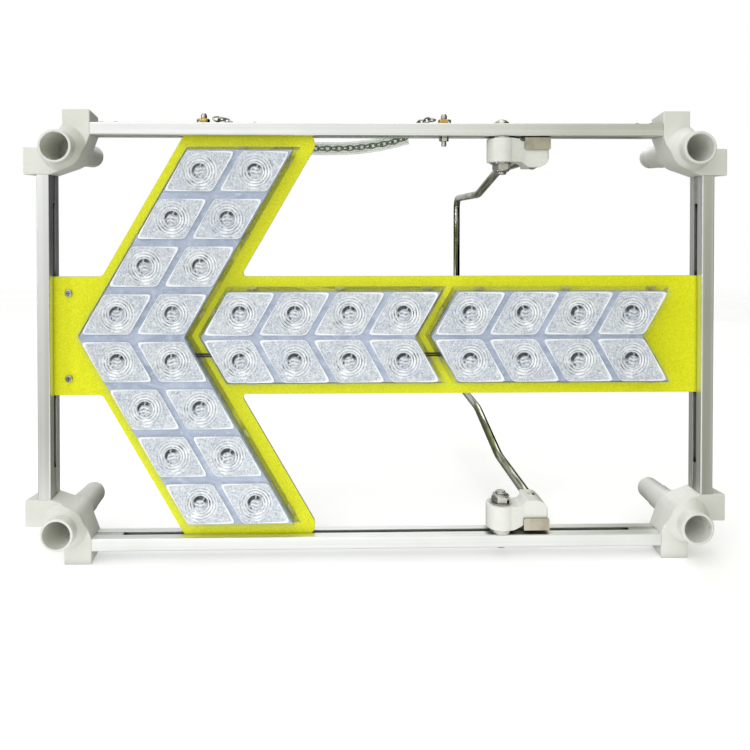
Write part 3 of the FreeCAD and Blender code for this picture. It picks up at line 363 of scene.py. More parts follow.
def lens_skirt():
    """The module's clear side walls: lines along them, and the sheet's yellow painted on as light carried
    through them, with a painted glow.
    """
    look = Look("lens_skirt", Specular_IOR_Level=0.7, Coat_Weight=0.4, Coat_Roughness=0.08)
    lines = look.noise(160, (0.04, 1, 0.04), detail=2)
    cloud = look.noise(34, detail=3)
    # The yellow tones paint the sheet's colour seen through the clear wall.
    base = look.mix(look.span(lines, 0.4, 0.56), colour(196, 196, 44), colour(216, 218, 130))
    base = look.mix(look.span(lines, 0.38, 0.3, 0, 0.8), base, colour(140, 140, 34))
    base = look.mix(look.span(cloud, 0.45, 0.75, 0, 0.6), base, colour(206, 210, 168))
    look.paint(base)
    # Strong emission: a painted glow that lights the walls from within.
    look.feed(base, look.shader.inputs["Emission Color"])
    look.shader.inputs["Emission Strength"].default_value = 0.5
    look.roughen(cloud, 0.12, 0.26)
    look.bump(lines, 0.1, 0.4)
    return look.material


def plain_plastic(name, light, dark, rough, grain=600, hollow=8, depth=0.04):
    """Moulded or coated plastic: fine grain, uneven tone, a painted highlight on its edges and painted shade
    in its hollows.

    hollow is how far the painted shade reaches, in millimetres. 0 leaves it out.
    """
    look = Look(name)
    fine = look.noise(grain, detail=3)
    tone = look.noise(24, detail=4)
    base = look.mix(look.span(tone, 0.35, 0.7), light, dark)
    if hollow:
        # Painted shade in the hollows.
        base = look.mix(look.hollows(hollow), base, tuple(c * 0.5 for c in dark[:3]) + (1.0,))
    # Painted highlight on the edges.
    base = look.mix(look.edges(0.7), base, tuple(min(1.0, c * 1.25 + 0.02) for c in light[:3]) + (1.0,))
    look.paint(base)
    look.roughen(look.calc(tone, look.calc(fine, 0.2, "MULTIPLY")), *rough)
    look.bump(fine, depth, 0.35)
    return look.material


def clear_gasket():
    """Clear silicone gasket that shows the sheet beneath it, cloudy in patches."""
    look = Look("gasket_rubber", roughness=0.45)
    cloud = look.noise(80, detail=3)
    look.paint(look.mix(look.span(cloud, 0.35, 0.65), colour(226, 228, 190), colour(208, 210, 150)))
    look.see_through(look.span(cloud, 0.3, 0.7, 0.99, 0.93))
    return look.material


def clear_sleeve():
    """Soft clear vinyl tube: faintly green-grey, cloudy in patches, denser where its surface turns edge-on to
    the view.
    """
    look = Look("clear_sleeve", roughness=0.12, Specular_IOR_Level=0.6)
    haze = look.noise(60, warp=0.6)
    look.paint(look.mix(look.span(haze, 0.35, 0.65), colour(206, 212, 204), colour(190, 198, 190)))
    facing = look.add("ShaderNodeLayerWeight")
    facing.inputs["Blend"].default_value = 0.35
    rim = look.span(facing.outputs["Facing"], 0.35, 0.95, 0.0, 0.6)
    clear = look.see_through(look.calc(look.span(haze, 0.3, 0.7, 0.9, 0.78), rim, "SUBTRACT"))
    clear.inputs["Color"].default_value = (0.93, 0.95, 0.92, 1.0)
    return look.material


# How noise is stretched on a rail so that its lines run along it.
ALONG_X = (0.02, 3, 3)
ALONG_Z = (3, 3, 0.02)
LOOKS = {
    "white_moulding": white_moulding(),
    "key_zinc": bare_metal(
        "key_zinc", colour(214, 214, 208), colour(186, 186, 178), (0.3, 0.46), 40, colour(236, 236, 232)
    ),
    "stainless": bare_metal(
        "stainless", colour(206, 205, 200), colour(168, 168, 160), (0.16, 0.34), 60, colour(240, 240, 238)
    ),
    "polished_rod": polished_rod(),
    "keeper_steel": bare_metal(
        "keeper_steel", colour(196, 192, 176), colour(172, 166, 146), (0.32, 0.5), 45, colour(222, 220, 210)
    ),
    "nylon": plain_plastic("nylon", colour(226, 224, 212), colour(208, 205, 190), (0.4, 0.6)),
    "brass": bare_metal(
        "brass", colour(214, 184, 104), colour(176, 138, 62), (0.2, 0.4), 90, colour(240, 220, 160)
    ),
    "plate_aluminium": bare_metal(
        "plate_aluminium",
        colour(204, 206, 207),
        colour(184, 186, 188),
        (0.4, 0.55),
        18,
        colour(226, 228, 228),
        metallic=0.7,
    ),
    "fluorescent_sheet": fluorescent_sheet(),
    "clear_lens": clear_cover(),
    "module_base_grey": plain_plastic(
        "module_base_grey", colour(178, 190, 216), colour(164, 176, 204), (0.4, 0.6)
    ),
    "circuit_board": plain_plastic("circuit_board", colour(232, 234, 234), colour(214, 219, 219), (0.3, 0.5)),
    "lamp_chip": plain_plastic("lamp_chip", colour(232, 222, 150), colour(206, 190, 110), (0.1, 0.25)),
    "gasket_rubber": clear_gasket(),
    "wire_black": plain_plastic("wire_black", colour(34, 34, 35), colour(20, 20, 22), (0.35, 0.5)),
    "case_grey": plain_plastic(
        "case_grey", colour(92, 94, 97), colour(74, 76, 79), (0.45, 0.65), 380, depth=0.08
    ),
    "clear_sleeve": clear_sleeve(),
}
RAIL_LEVEL = extruded_aluminium("anodised_rail_level", ALONG_X)
RAIL_UPRIGHT = extruded_aluminium("anodised_rail_upright", ALONG_Z)

# The starts of the CAD node names that wear each material. The longest start that fits a name counts.
NODE_SLOTS = {
    "white_moulding": ["corner_", "stand_bracket_"],
    "key_zinc": ["corner_keys"],
    "stainless": [
        "corner_button_screws",
        "corner_key_screws",
        "bracket_rail_screws",
        "pivot_",
        "plate_end_screws",
        "plate_clamp_screw",
        "module_screws",
        "flasher_lid_screws",
        "stand_rod_pins",
        "anchor_",
        "handle_chain",
    ],
    "polished_rod": ["stand_rod"],
    "keeper_steel": ["stand_keeper_"],
    "brass": ["brass_anchor_"],
    "plate_aluminium": ["arrow_plate", "plate_end_bracket"],
    "fluorescent_sheet": ["reflective_sheet"],
    "clear_lens": ["head_lens_cover", "middle_lens_cover", "tail_lens_cover"],
    "module_base_grey": ["head_module_base", "middle_module_base", "tail_module_base"],
    "circuit_board": ["head_circuit_board", "middle_circuit_board", "tail_circuit_board", "flasher_board"],
    "lamp_chip": ["head_lamp_chips", "middle_lamp_chips", "tail_lamp_chips"],
    "gasket_rubber": ["head_module_gasket", "middle_module_gasket", "tail_module_gasket"],
    "wire_black": ["link_wires"],
    "case_grey": ["flasher_case", "flasher_lid", "cable_gland"],
    "clear_sleeve": ["handle_sleeve"],
}


def look_for(node):
    """The material of the longest slot pattern that the node's name starts with."""
    fits = [
        (len(start), slot)
        for slot, starts in NODE_SLOTS.items()
        for start in starts
        if node.startswith(start)
    ]
    return LOOKS[max(fits)[1]]


def dress(obj, material):
    obj.data.materials.clear()
    obj.data.materials.append(material)


for name, node in nodes.items():
    if name.startswith("rail_"):
        dress(node, RAIL_LEVEL if name in ("rail_top", "rail_bottom") else RAIL_UPRIGHT)
    else:
        dress(node, look_for(name))


def piece(name, mesh, material, smooth=True):
    """A new piece of the board, in place in the row frame."""
    obj = bpy.data.objects.new(name, mesh)
    bpy.context.scene.collection.objects.link(obj)
    dress(obj, material)
    for face in mesh.polygons:
        face.use_smooth = smooth
    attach(obj, "board")
    return obj


SHARP = 0.5  # an edge whose faces meet at more than this angle, in radians, is bevelled
EDGE_BEVEL = 0.25


def finished(mesh_data, name):
    """Turns a bmesh into a named mesh and frees it."""
    mesh = bpy.data.meshes.new(name)
    mesh_data.to_mesh(mesh)
    mesh_data.free()
    return mesh


def round_edges(mesh_data):
    """Turns the faces outward and bevels the sharp edges between them."""
    bmesh.ops.recalc_face_normals(mesh_data, faces=mesh_data.faces)
    sharp = [edge for edge in mesh_data.edges if edge.calc_face_angle(0) > SHARP]
    bmesh.ops.bevel(mesh_data, geom=sharp, offset=EDGE_BEVEL * MM, segments=2, affect="EDGES")


# ---- lamp modules: ringed lens tiles behind the clear covers ----
TILE = 64.1  # side of a tile, and the pitch of the lamps along a row
ROW = TILE * math.sqrt(3) / 2  # pitch of the rows
LEAN = 1 / math.sqrt(3)  # how far a slanted side goes right for each millimetre away from the middle line
SLANT = math.sqrt(1 + LEAN**2)  # how far such a side shifts right when it is moved 1 mm square to itself
MODULES = {"head": (2, 8), "middle": (4, 2), "tail": (4, 2)}  # lamps across, rows
FLANGE = 3.0  # a cover's flange past its tiles
TILE_PLANE = -5.4  # depth of the tiles' field
FLOOR_PLANE = -3.6
PLATE_THICK = 1.2
SKIRT_BACK = 9.6
SKIRT_OUTER, SKIRT_INNER = 2.5, 3.3  # inset of the skirt's two faces from the module's outline
TILE_MARGIN = {"head": (3.4, 4.4), "middle": (3.4, 2.6), "tail": (3.4, 2.6)}  # beside and above a tile
CORNER_POWER = 16  # the higher, the tighter a tile's rounded corners
SAME_CHIP = 12.0  # vertices nearer than this belong to one lamp

DOME = 8.5  # radius of the dome in the middle of a lens
DOME_RISE = 2.0
GROOVE = 1.2  # width of the groove round the dome
GROOVE_DEPTH = 0.9
LENS = 21.0  # radius of the ringed part
RING = 3.3  # pitch of the lens rings
CREST = 0.72  # share of a ring's pitch at which it is highest
RING_RISE = 0.95
AROUND = 96  # points round a lens
DOME_RADII = [0.0, 1.2, 2.4, 3.5, 4.5, 5.4, 6.2, 6.9, 7.5, 8.1, DOME, DOME + 0.5, DOME + 0.9]
RINGS_FROM = DOME + 1.3
STEPS_PER_RING = 6
# Shares of the way from the outermost ring to the tile's edge. The last point is the foot of the edge.
FIELD_SHARES = [0.12, 0.26, 0.4, 0.54, 0.68, 0.8, 0.9, 0.955, 0.985, 1.0, 1.0]
LIP = 0.9  # share at which the raised lip begins
LIP_HEIGHT = 0.75
# Flat glints below a lens: (drop from the middle, half width, half height).
GLINTS = ((12.6, 5.2, 1.5), (16.2, 6.0, 1.6), (20.2, 4.4, 0.9))

TAB_OUTSET = 1.3
TAB_BACK = 10.4
TAB_HEIGHT = 2.6
TAB_FIRST = 30.0  # from an end of an edge to its first tab
TAB_STEP = 104.0
TABS_AT_MOST = 4
TAB_CLEAR = 8  # least distance from a tab to a corner
# A tab seen from the front: (along the edge, outward). The nose is at -3.2, towards the tiles.
TAB_PROFILE = [(-5.5, -1.3), (-2.2, -1.3), (0.0, -3.2), (2.2, -1.3), (5.5, -1.3), (5.5, 1.4), (-5.5, 1.4)]


def chip_centres(module):
    """Each lamp's (x, z) about the board's middle, from the lamp chips of that module."""
    groups = []
    for vertex in nodes[f"{module}_lamp_chips"].data.vertices:
        near = [g for g in groups if (g[0] - vertex.co).length < SAME_CHIP * MM]
        if near:
            near[0].append(vertex.co)
        else:
            groups.append([vertex.co])
    centres = []
    for group in groups:
        xs = [co.x for co in group]
        zs = [co.z for co in group]
        middle = Vector(((min(xs) + max(xs)) / 2, 0, (min(zs) + max(zs)) / 2)) - MIDDLE
        centres.append((middle.x / MM, middle.z / MM))
    return sorted(centres)


def tile_reach(angle, lean, beside, above):
    """Distance from a tile's middle to its softly rounded rhombic edge in that direction."""
    across, up = math.cos(angle), math.sin(angle)
    along_row = (across - lean * LEAN * up) / (TILE / 2 - beside * SLANT)
    along_lean = up / (ROW / 2 - above)
    return (abs(along_row) ** CORNER_POWER + abs(along_lean) ** CORNER_POWER) ** (-1 / CORNER_POWER)


def lens_height(r, wobble):
    """How far the lens stands out at r from its middle."""
    if r < DOME:
        return DOME_RISE * math.sqrt(max(0.0, 1 - (r / DOME) ** 2)) + 0.5
    if r < DOME + GROOVE:
        return -GROOVE_DEPTH
    if r < LENS:
        fade = max(0.12, 1 - (r - DOME) / (LENS - DOME) * 0.45)
    else:
        fade = 0.2 * math.exp((LENS - r) / 9)
    phase = ((r - DOME + wobble) / RING) % 1.0
    saw = phase / CREST if phase < CREST else (1 - phase) / (1 - CREST)
    return fade * (saw - 0.4) * RING_RISE


def hump(away, half_width):
    """1 at no distance, staying high and then falling to 0 at half_width."""
    return max(0.0, 1 - abs(away / half_width) ** 3)


def arc(angle, towards, half_width):
    """1 in the middle of an arc that faces towards, falling to 0 at half_width radians."""
    return hump((angle - towards + math.pi) % (2 * math.pi) - math.pi, half_width)


def dashes(angle, number, dice):
    """0 to 1 round a ring: short irregular strokes, different on each ring and each lamp."""
    slow = math.sin((2 + number % 2) * angle + dice[number])
    quick = math.sin((6 + 2 * (number % 3)) * angle + dice[number + 3] + 1.4 * slow)
    return max(0.0, min(1.0, 0.3 + 0.5 * slow + 0.6 * quick))


# In dome_marks and ring_marks, angles are in radians and lengths in millimetres, and dice holds the lamp's
# own random angles.
def dome_marks(r, angle, up_angle, dice):
    """(white, dark) on the dome, painted highlight and painted shade: a dark crescent of painted reflection
    on its upper rim and level streaks of painted highlight and shade within.
    """
    crescent = min(1.0, 1.4 * arc(angle, up_angle + 0.35, 1.55) * hump(r - DOME + 1.2, 2.2))
    gap = 0.7 * arc(angle, up_angle - 0.2 + 0.2 * math.sin(dice[6]), 0.16)
    spots = arc(angle, up_angle + 2.1, 0.22)
    spots += 0.8 * arc(angle, up_angle + 2.7 + 0.4 * math.sin(dice[7]), 0.16)
    dark = max(crescent * (1 - gap), spots * hump(r - DOME + 1.4, 1.3))
    across, down = r * math.cos(angle), r * math.sin(angle)
    streak = math.sin(1.5 * down + 1.1 * math.sin(0.55 * across + dice[0]) + dice[1])
    inner = hump(r, DOME - 1.6)
    dark = max(dark, 0.75 * inner * max(0.0, streak) * (0.6 + 0.4 * math.sin(across + dice[2])))
    white = inner * max(0.0, -streak - 0.15) * (0.7 + 0.3 * math.sin(1.3 * across + dice[3]))
    return white, dark


def ring_marks(r, angle, up_angle, dice):
    """(white, dark) outside the dome: broken rings of painted highlight, dark strokes of painted shade
    between them, flat painted glints below.
    """
    number = int((r - DOME) / RING)
    phase = (r - DOME) / RING - number
    fade = max(0.4, 1 - 0.18 * number)
    bright = 0.45 + 0.55 * dashes(angle + 1, number + 2, dice)
    bright += 0.6 * arc(angle, up_angle - 1.55, 0.5) + 0.4 * arc(angle, up_angle, 0.9)
    white = fade * bright * hump(phase - 0.42, 0.36)
    stroke = 0.15 + 0.85 * dashes(angle, number, dice)
    flank = arc(angle, up_angle - 1.05, 0.32) + arc(angle, up_angle + 2.25, 0.4)
    flank += 0.5 * arc(angle, up_angle + 1.5, 0.3)
    dark = fade * stroke * (0.6 + 0.9 * flank) * hump(phase - 0.93, 0.33)
    below = up_angle + math.pi
    drop = r * math.cos(angle - below)
    sideways = r * math.sin(angle - below)
    for distance, half_width, half_height in GLINTS:
        shift = 1.6 * math.sin(dice[5] + distance)
        glint = hump(sideways - shift, half_width) * hump(drop - distance, half_height)
        white = max(white, 1.1 * glint)
        dark *= 1 - min(1.0, glint)
    return white, dark


def lens_marks(r, angle, up_angle, dice):
    """(white, dark) at a point of a lens, each from 0 to 1: the share of painted highlight and of painted
    shade there.
    """
    marks = dome_marks if r < DOME + 0.6 else ring_marks
    white, dark = marks(r, angle, up_angle, dice)
    return min(1.0, max(0.0, white)), min(1.0, max(0.0, dark))


def tile_rings(lean, margin, dice):
    """Rows of (x, height, z, white, dark) for one tile, from its middle to the foot of its edge; white is
    painted highlight and dark is painted shade.
    """
    step = RING / STEPS_PER_RING
    radii = DOME_RADII + [RINGS_FROM + step * i for i in range(int((LENS - RINGS_FROM) / step) + 1)]
    rows = []
    angles = [2 * math.pi * i / AROUND for i in range(AROUND)]
    up_angle = math.pi / 2 + 0.35 * math.sin(dice[2])
    for r in radii:
        row = []
        for angle in angles:
            wobble = 0.25 * math.sin(2 * angle + dice[3]) + 0.12 * math.sin(5 * angle + dice[4])
            white, dark = lens_marks(r, angle, up_angle, dice)
            row.append((r * math.cos(angle), lens_height(r, wobble), r * math.sin(angle), white, dark))
        rows.append(row)
    last = radii[-1]
    for number, share in enumerate(FIELD_SHARES):
        row = []
        for angle in angles:
            edge = tile_reach(angle, lean, *margin)
            r = last + (edge - last) * share
            height = lens_height(r, 0.0)
            # A faint painted sheen on the field between the rings.
            white = 0.2 * max(0.0, math.sin(r * 2.4 + dice[5]))
            dark = 0.0
            # Painted highlight on the raised lip, and painted shade where the edge meets the floor.
            if LIP <= share < 1.0:
                height = LIP_HEIGHT
                white = 0.95
            if number == len(FIELD_SHARES) - 1:
                height = TILE_PLANE - FLOOR_PLANE - 0.1
            elif share == 1.0:
                dark = 0.18
                height = 0.1
            row.append((r * math.cos(angle), height, r * math.sin(angle), white, dark))
        rows.append(row)
    return rows


def lens_tiles(module):
    """All the ringed tiles of one module as one mesh."""
    dice_box = random.Random(f"{module} lamps")
    mesh_data = bmesh.new()
    # Per-vertex layers: lens_light holds the painted highlight and lens_dark the painted shade.
    white_layer = mesh_data.verts.layers.float.new("lens_light")
    dark_layer = mesh_data.verts.layers.float.new("lens_dark")
    for cx, cz in chip_centres(module):
        lean = 1 if cz > 0 else -1
        dice = [dice_box.uniform(0, 2 * math.pi) for _ in range(12)]
        rings = []
        for row in tile_rings(lean, TILE_MARGIN[module], dice):
            ring = []
            for x, height, z, white, dark in row:
                vertex = mesh_data.verts.new(place(cx + x, TILE_PLANE - height, cz + z))
                vertex[white_layer] = white
                vertex[dark_layer] = dark
                ring.append(vertex)
            rings.append(ring)
        for inner, outer in zip(rings[1:], rings[2:]):
            for i in range(AROUND):
                j = (i + 1) % AROUND
                mesh_data.faces.new((inner[i], outer[i], outer[j], inner[j]))
        tip = rings[0][0]
        for spare in rings[0][1:]:
            mesh_data.verts.remove(spare)
        for i in range(AROUND):
            mesh_data.faces.new((tip, rings[1][i], rings[1][(i + 1) % AROUND]))
    mesh_data.normal_update()
    return finished(mesh_data, f"{module}_lens_tiles")


def chevron(module, inset):
    """The module's outline drawn in by inset, from the box of its cover."""
    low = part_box(f"{module}_lens_cover")[0]
    across, rows = MODULES[module]
    top = rows / 2 * ROW - inset
    tip_x = (low.x - MIDDLE.x) / MM + FLANGE * SLANT
    shift = inset * SLANT
    left, right = tip_x + shift, tip_x + across * TILE - shift
    upper = [(left, 0), (left + LEAN * top, top), (right + LEAN * top, top), (right, 0)]
    return upper + [(right + LEAN * top, -top), (left + LEAN * top, -top)]


def lens_floor_plate(module):
    """The moulding that carries the tiles: a thin plate with a skirt that goes back to the module's base."""
    levels = [
        (SKIRT_OUTER, FLOOR_PLANE),
        (SKIRT_OUTER, SKIRT_BACK),
        (SKIRT_INNER, SKIRT_BACK),
        (SKIRT_INNER, FLOOR_PLANE + PLATE_THICK),
    ]
    mesh_data = bmesh.new()
    loops = [
        [mesh_data.verts.new(place(x, depth, z)) for x, z in chevron(module, inset)]
        for inset, depth in levels
    ]
    front, back = loops[0], loops[-1]
    count = len(front)
    mesh_data.faces.new((front[0], front[1], front[2], front[3]))
    mesh_data.faces.new((front[0], front[3], front[4], front[5]))
    mesh_data.faces.new((back[3], back[2], back[1], back[0]))
    mesh_data.faces.new((back[5], back[4], back[3], back[0]))
    for first, second in zip(loops, loops[1:]):
        for i in range(count):
            j = (i + 1) % count
            mesh_data.faces.new((first[j], first[i], second[i], second[j]))
    round_edges(mesh_data)
    for face in mesh_data.faces:
        faces_front_or_back = abs(face.normal.y) > 0.5
        face.material_index = 0 if faces_front_or_back else 1
    return finished(mesh_data, f"{module}_lens_floor")


def inside(module, x, z):
    """Whether a point lies within the chevron of a module."""
    corners = chevron(module, 0)
    top = corners[1][1]
    left = corners[0][0] + LEAN * abs(z)
    right = corners[3][0] + LEAN * abs(z)
    return abs(z) < top and left < x < right


def tab_places(module):
    """(x, z, direction along the edge) of the snap tabs round a module's cover."""
    corners = chevron(module, -TAB_OUTSET)
    places = []
    for (ax, az), (bx, bz) in zip(corners, corners[1:] + corners[:1]):
        along = Vector((bx - ax, 0, bz - az))
        length = along.length
        along.normalize()
        if along.x < -0.9 or (abs(along.z) > 0.1 and az > bz and ax > bx):
            start, step = length - TAB_FIRST, -TAB_STEP
        else:
            start, step = TAB_FIRST, TAB_STEP
        spots = [start + step * i for i in range(TABS_AT_MOST)]
        if length < 1.5 * TAB_STEP:
            spots = [length / 2]
        for at in spots:
            if TAB_CLEAR < at < length - TAB_CLEAR:
                places.append((ax + along.x * at, az + along.z * at, along))
    return places


def snap_tabs(module):
    """Small raised catches with a pointed nose, moulded on the cover's flange."""
    mesh_data = bmesh.new()
    for x, z, along in tab_places(module):
        across = Vector((-along.z, 0, along.x))
        inward = 1 if inside(module, x + across.x * 6, z + across.z * 6) else -1
        low, high = [], []
        for u, v in TAB_PROFILE:
            spot = Vector((x, 0, z)) + along * u - across * v * inward
            low.append(mesh_data.verts.new(place(spot.x, TAB_BACK, spot.z)))
            high.append(mesh_data.verts.new(place(spot.x, TAB_BACK - TAB_HEIGHT, spot.z)))
        mesh_data.faces.new(high)
        mesh_data.faces.new(list(reversed(low)))
        for i in range(len(TAB_PROFILE)):
            j = (i + 1) % len(TAB_PROFILE)
            mesh_data.faces.new((low[i], low[j], high[j], high[i]))
    round_edges(mesh_data)
    return finished(mesh_data, f"{module}_snap_tabs")


TILE_LOOK = lens_tile()
FLOOR_LOOK = lens_floor()
SKIRT_LOOK = lens_skirt()
# The tabs are clear; their yellow-olive tones paint the sheet's colour seen through them.
TAB_LOOK = plain_plastic("snap_tabs", colour(190, 192, 120), colour(138, 140, 70), (0.15, 0.3), 300, 0)
for module in MODULES:
    piece(f"{module}_lens_tiles", lens_tiles(module), TILE_LOOK)
    plate = piece(f"{module}_lens_floor", lens_floor_plate(module), FLOOR_LOOK, smooth=False)
    plate.data.materials.append(SKIRT_LOOK)
    piece(f"{module}_snap_tabs", snap_tabs(module), TAB_LOOK, smooth=False)


# ---- chain handle ----
HANDLE_X = -64.6  # the handle's middle
CHAIN_DIAMETER = 8.5
SLEEVE_DIAMETER = 16.0
SLEEVE_BORE = 12.0
# Half of the chain's route, from its end to the middle: (offset from HANDLE_X, depth, height). The end stops
# short of the anchor.
HALF_ROUTE = [
    (132.7, 22.5, 258.8),
    (121.2, 31.0, 260.5),
    (111.6, 39.0, 253.2),
    (103.2, 42.0, 239.8),
    (77.4, 42.0, 232.2),
    (38.7, 42.0, 226.5),
]
LOW_POINT = (0.0, 42.0, 225.7)
SLEEVE_FIRST = 3  # the route's point at which the sleeve starts
SLEEVE_SET_BACK = 1.5
SLEEVE_SPACING = 3.0
SLEEVE_AROUND = 28
SLEEVE_DENTS = 0.012  # unevenness of the outside, as a share of its radius
LINK_PITCH = 7.0
LINK_WIRE = 2.1
LINK_STEPS = 28  # points round a link's oval
LINK_SIDES = 10  # points round its wire
LINK_TWIST = 38  # degrees from end to end of a link
LINK_ROLL = 20  # degrees that every link is turned about the chain; each second one turns 90 more


def handle_points():
    """The points that guide the chain, from its right end to its left end."""
    half = [place(HANDLE_X + dx, y, z) for dx, y, z in HALF_ROUTE]
    other = [place(HANDLE_X - dx, y, z) for dx, y, z in reversed(HALF_ROUTE)]
    return half + [place(HANDLE_X + LOW_POINT[0], *LOW_POINT[1:])] + other


def sleeve_points():
    """The guide points of the sleeve, drawn in a little at both ends."""
    points = handle_points()[SLEEVE_FIRST:-SLEEVE_FIRST]
    points[0] = points[0] + (points[1] - points[0]).normalized() * SLEEVE_SET_BACK * MM
    points[-1] = points[-1] + (points[-2] - points[-1]).normalized() * SLEEVE_SET_BACK * MM
    return points


def smooth_line(points, spacing):
    """Evenly spaced points along a quadratic curve guided by points."""
    curve = bpy.data.curves.new("guide", "CURVE")
    curve.dimensions = "3D"
    spline = curve.splines.new("NURBS")
    spline.points.add(len(points) - 1)
    for knot, point in zip(spline.points, points):
        knot.co = (*point, 1)
    spline.order_u = 3
    spline.use_endpoint_u = True
    curve.resolution_u = 24
    guide = bpy.data.objects.new("guide", curve)
    bpy.context.scene.collection.objects.link(guide)
    bpy.context.view_layer.update()
    mesh = bpy.data.meshes.new_from_object(guide.evaluated_get(bpy.context.evaluated_depsgraph_get()))
    raw = [v.co.copy() for v in mesh.vertices]
    bpy.data.meshes.remove(mesh)
    bpy.data.objects.remove(guide)
    bpy.data.curves.remove(curve)
    lengths = [0.0]
    for a, b in zip(raw, raw[1:]):
        lengths.append(lengths[-1] + (b - a).length)
    count = max(2, round(lengths[-1] / (spacing * MM)))
    line = []
    at = 0
    for i in range(count + 1):
        want = lengths[-1] * i / count
        while at < len(raw) - 2 and lengths[at + 1] < want:
            at += 1
        share = (want - lengths[at]) / max(1e-9, lengths[at + 1] - lengths[at])
        line.append(raw[at].lerp(raw[at + 1], min(1.0, share)))
    return line, lengths[-1]


def frames_along(line):
    """(point, tangent, side, up) at each point, turning as little as possible."""
    result = []
    side = Vector((0, 1, 0))
    for i, point in enumerate(line):
        tangent = (line[min(i + 1, len(line) - 1)] - line[max(i - 1, 0)]).normalized()
        side = (side - tangent * side.dot(tangent)).normalized()
        result.append((point, tangent, side, tangent.cross(side)))
    return result


def chain_link(mesh_data, centre, tangent, side, up, turn, half_long, half_wide):
    """One oval link of round wire, twisted by turn from end to end."""
    wire = LINK_WIRE / 2 * MM
    straight = half_long - half_wide
    loops = []
    path = []
    for i in range(LINK_STEPS):
        a = 2 * math.pi * i / LINK_STEPS
        x = half_wide * math.cos(a) + (straight if math.cos(a) > 0 else -straight)
        path.append((x, half_wide * math.sin(a)))
    placed = []
    for x, w in path:
        roll = turn * x / (2 * half_long)
        across = side * math.cos(roll) + up * math.sin(roll)
        placed.append((centre + tangent * x * MM + across * w * MM, across))
    for i in range(LINK_STEPS):
        here, across = placed[i]
        ahead = (placed[(i + 1) % LINK_STEPS][0] - placed[i - 1][0]).normalized()
        normal = ahead.cross(tangent.cross(across).normalized()).normalized()
        binormal = ahead.cross(normal)
        loop = []
        for k in range(LINK_SIDES):
            b = 2 * math.pi * k / LINK_SIDES
            loop.append(mesh_data.verts.new(here + (normal * math.cos(b) + binormal * math.sin(b)) * wire))
        loops.append(loop)
    for i in range(LINK_STEPS):
        first, second = loops[i], loops[(i + 1) % LINK_STEPS]
        for k in range(LINK_SIDES):
            m = (k + 1) % LINK_SIDES
            mesh_data.faces.new((first[k], first[m], second[m], second[k]))


def chain_piece():
    """The chain, link by link along its route. It stands for the CAD's plain tube."""
    line, length = smooth_line(handle_points(), LINK_PITCH / 8)
    spots = frames_along(line)
    count = round(length / (LINK_PITCH * MM))
    pitch = length / count
    mesh_data = bmesh.new()
    half_wide = CHAIN_DIAMETER / 2 - LINK_WIRE / 2
    half_long = pitch / MM / 2 + LINK_WIRE / 2
    for i in range(count):
        point, tangent, side, up = spots[round((i + 0.5) / count * (len(spots) - 1))]
        roll = math.radians(90 * (i % 2) + LINK_ROLL)
        turned = side * math.cos(roll) + up * math.sin(roll)
        flat = tangent.cross(turned)
        chain_link(mesh_data, point, tangent, turned, flat, math.radians(LINK_TWIST), half_long, half_wide)
    bmesh.ops.recalc_face_normals(mesh_data, faces=mesh_data.faces)
    mesh = finished(mesh_data, "handle_chain_links")
    chain = piece("handle_chain_links", mesh, LOOKS["stainless"])
    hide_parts("handle_chain")


def sleeve_piece():
    """The clear tube round the chain, open at both ends."""
    line, length = smooth_line(sleeve_points(), SLEEVE_SPACING)
    spots = frames_along(line)
    mesh_data = bmesh.new()
    tubes = []
    for diameter in (SLEEVE_DIAMETER, SLEEVE_BORE):
        rings = []
        for index, (point, _, side, up) in enumerate(spots):
            ring = []
            for i in range(SLEEVE_AROUND):
                a = 2 * math.pi * i / SLEEVE_AROUND
                dent = 1 + SLEEVE_DENTS * math.sin(index * 0.9 + 2 * a)
                radius = diameter / 2 * MM * (dent if diameter == SLEEVE_DIAMETER else 1.0)
                ring.append(mesh_data.verts.new(point + (side * math.cos(a) + up * math.sin(a)) * radius))
            rings.append(ring)
        for first, second in zip(rings, rings[1:]):
            for i in range(SLEEVE_AROUND):
                j = (i + 1) % SLEEVE_AROUND
                mesh_data.faces.new((first[i], first[j], second[j], second[i]))
        tubes.append(rings)
    for end in (0, -1):
        outer, inner = tubes[0][end], tubes[1][end]
        for i in range(SLEEVE_AROUND):
            j = (i + 1) % SLEEVE_AROUND
            mesh_data.faces.new((outer[i], outer[j], inner[j], inner[i]))
    bmesh.ops.recalc_face_normals(mesh_data, faces=mesh_data.faces)
    mesh = finished(mesh_data, "handle_sleeve_tube")
    sleeve = piece("handle_sleeve_tube", mesh, LOOKS["clear_sleeve"])
    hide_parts("handle_sleeve")


chain_piece()
sleeve_piece()


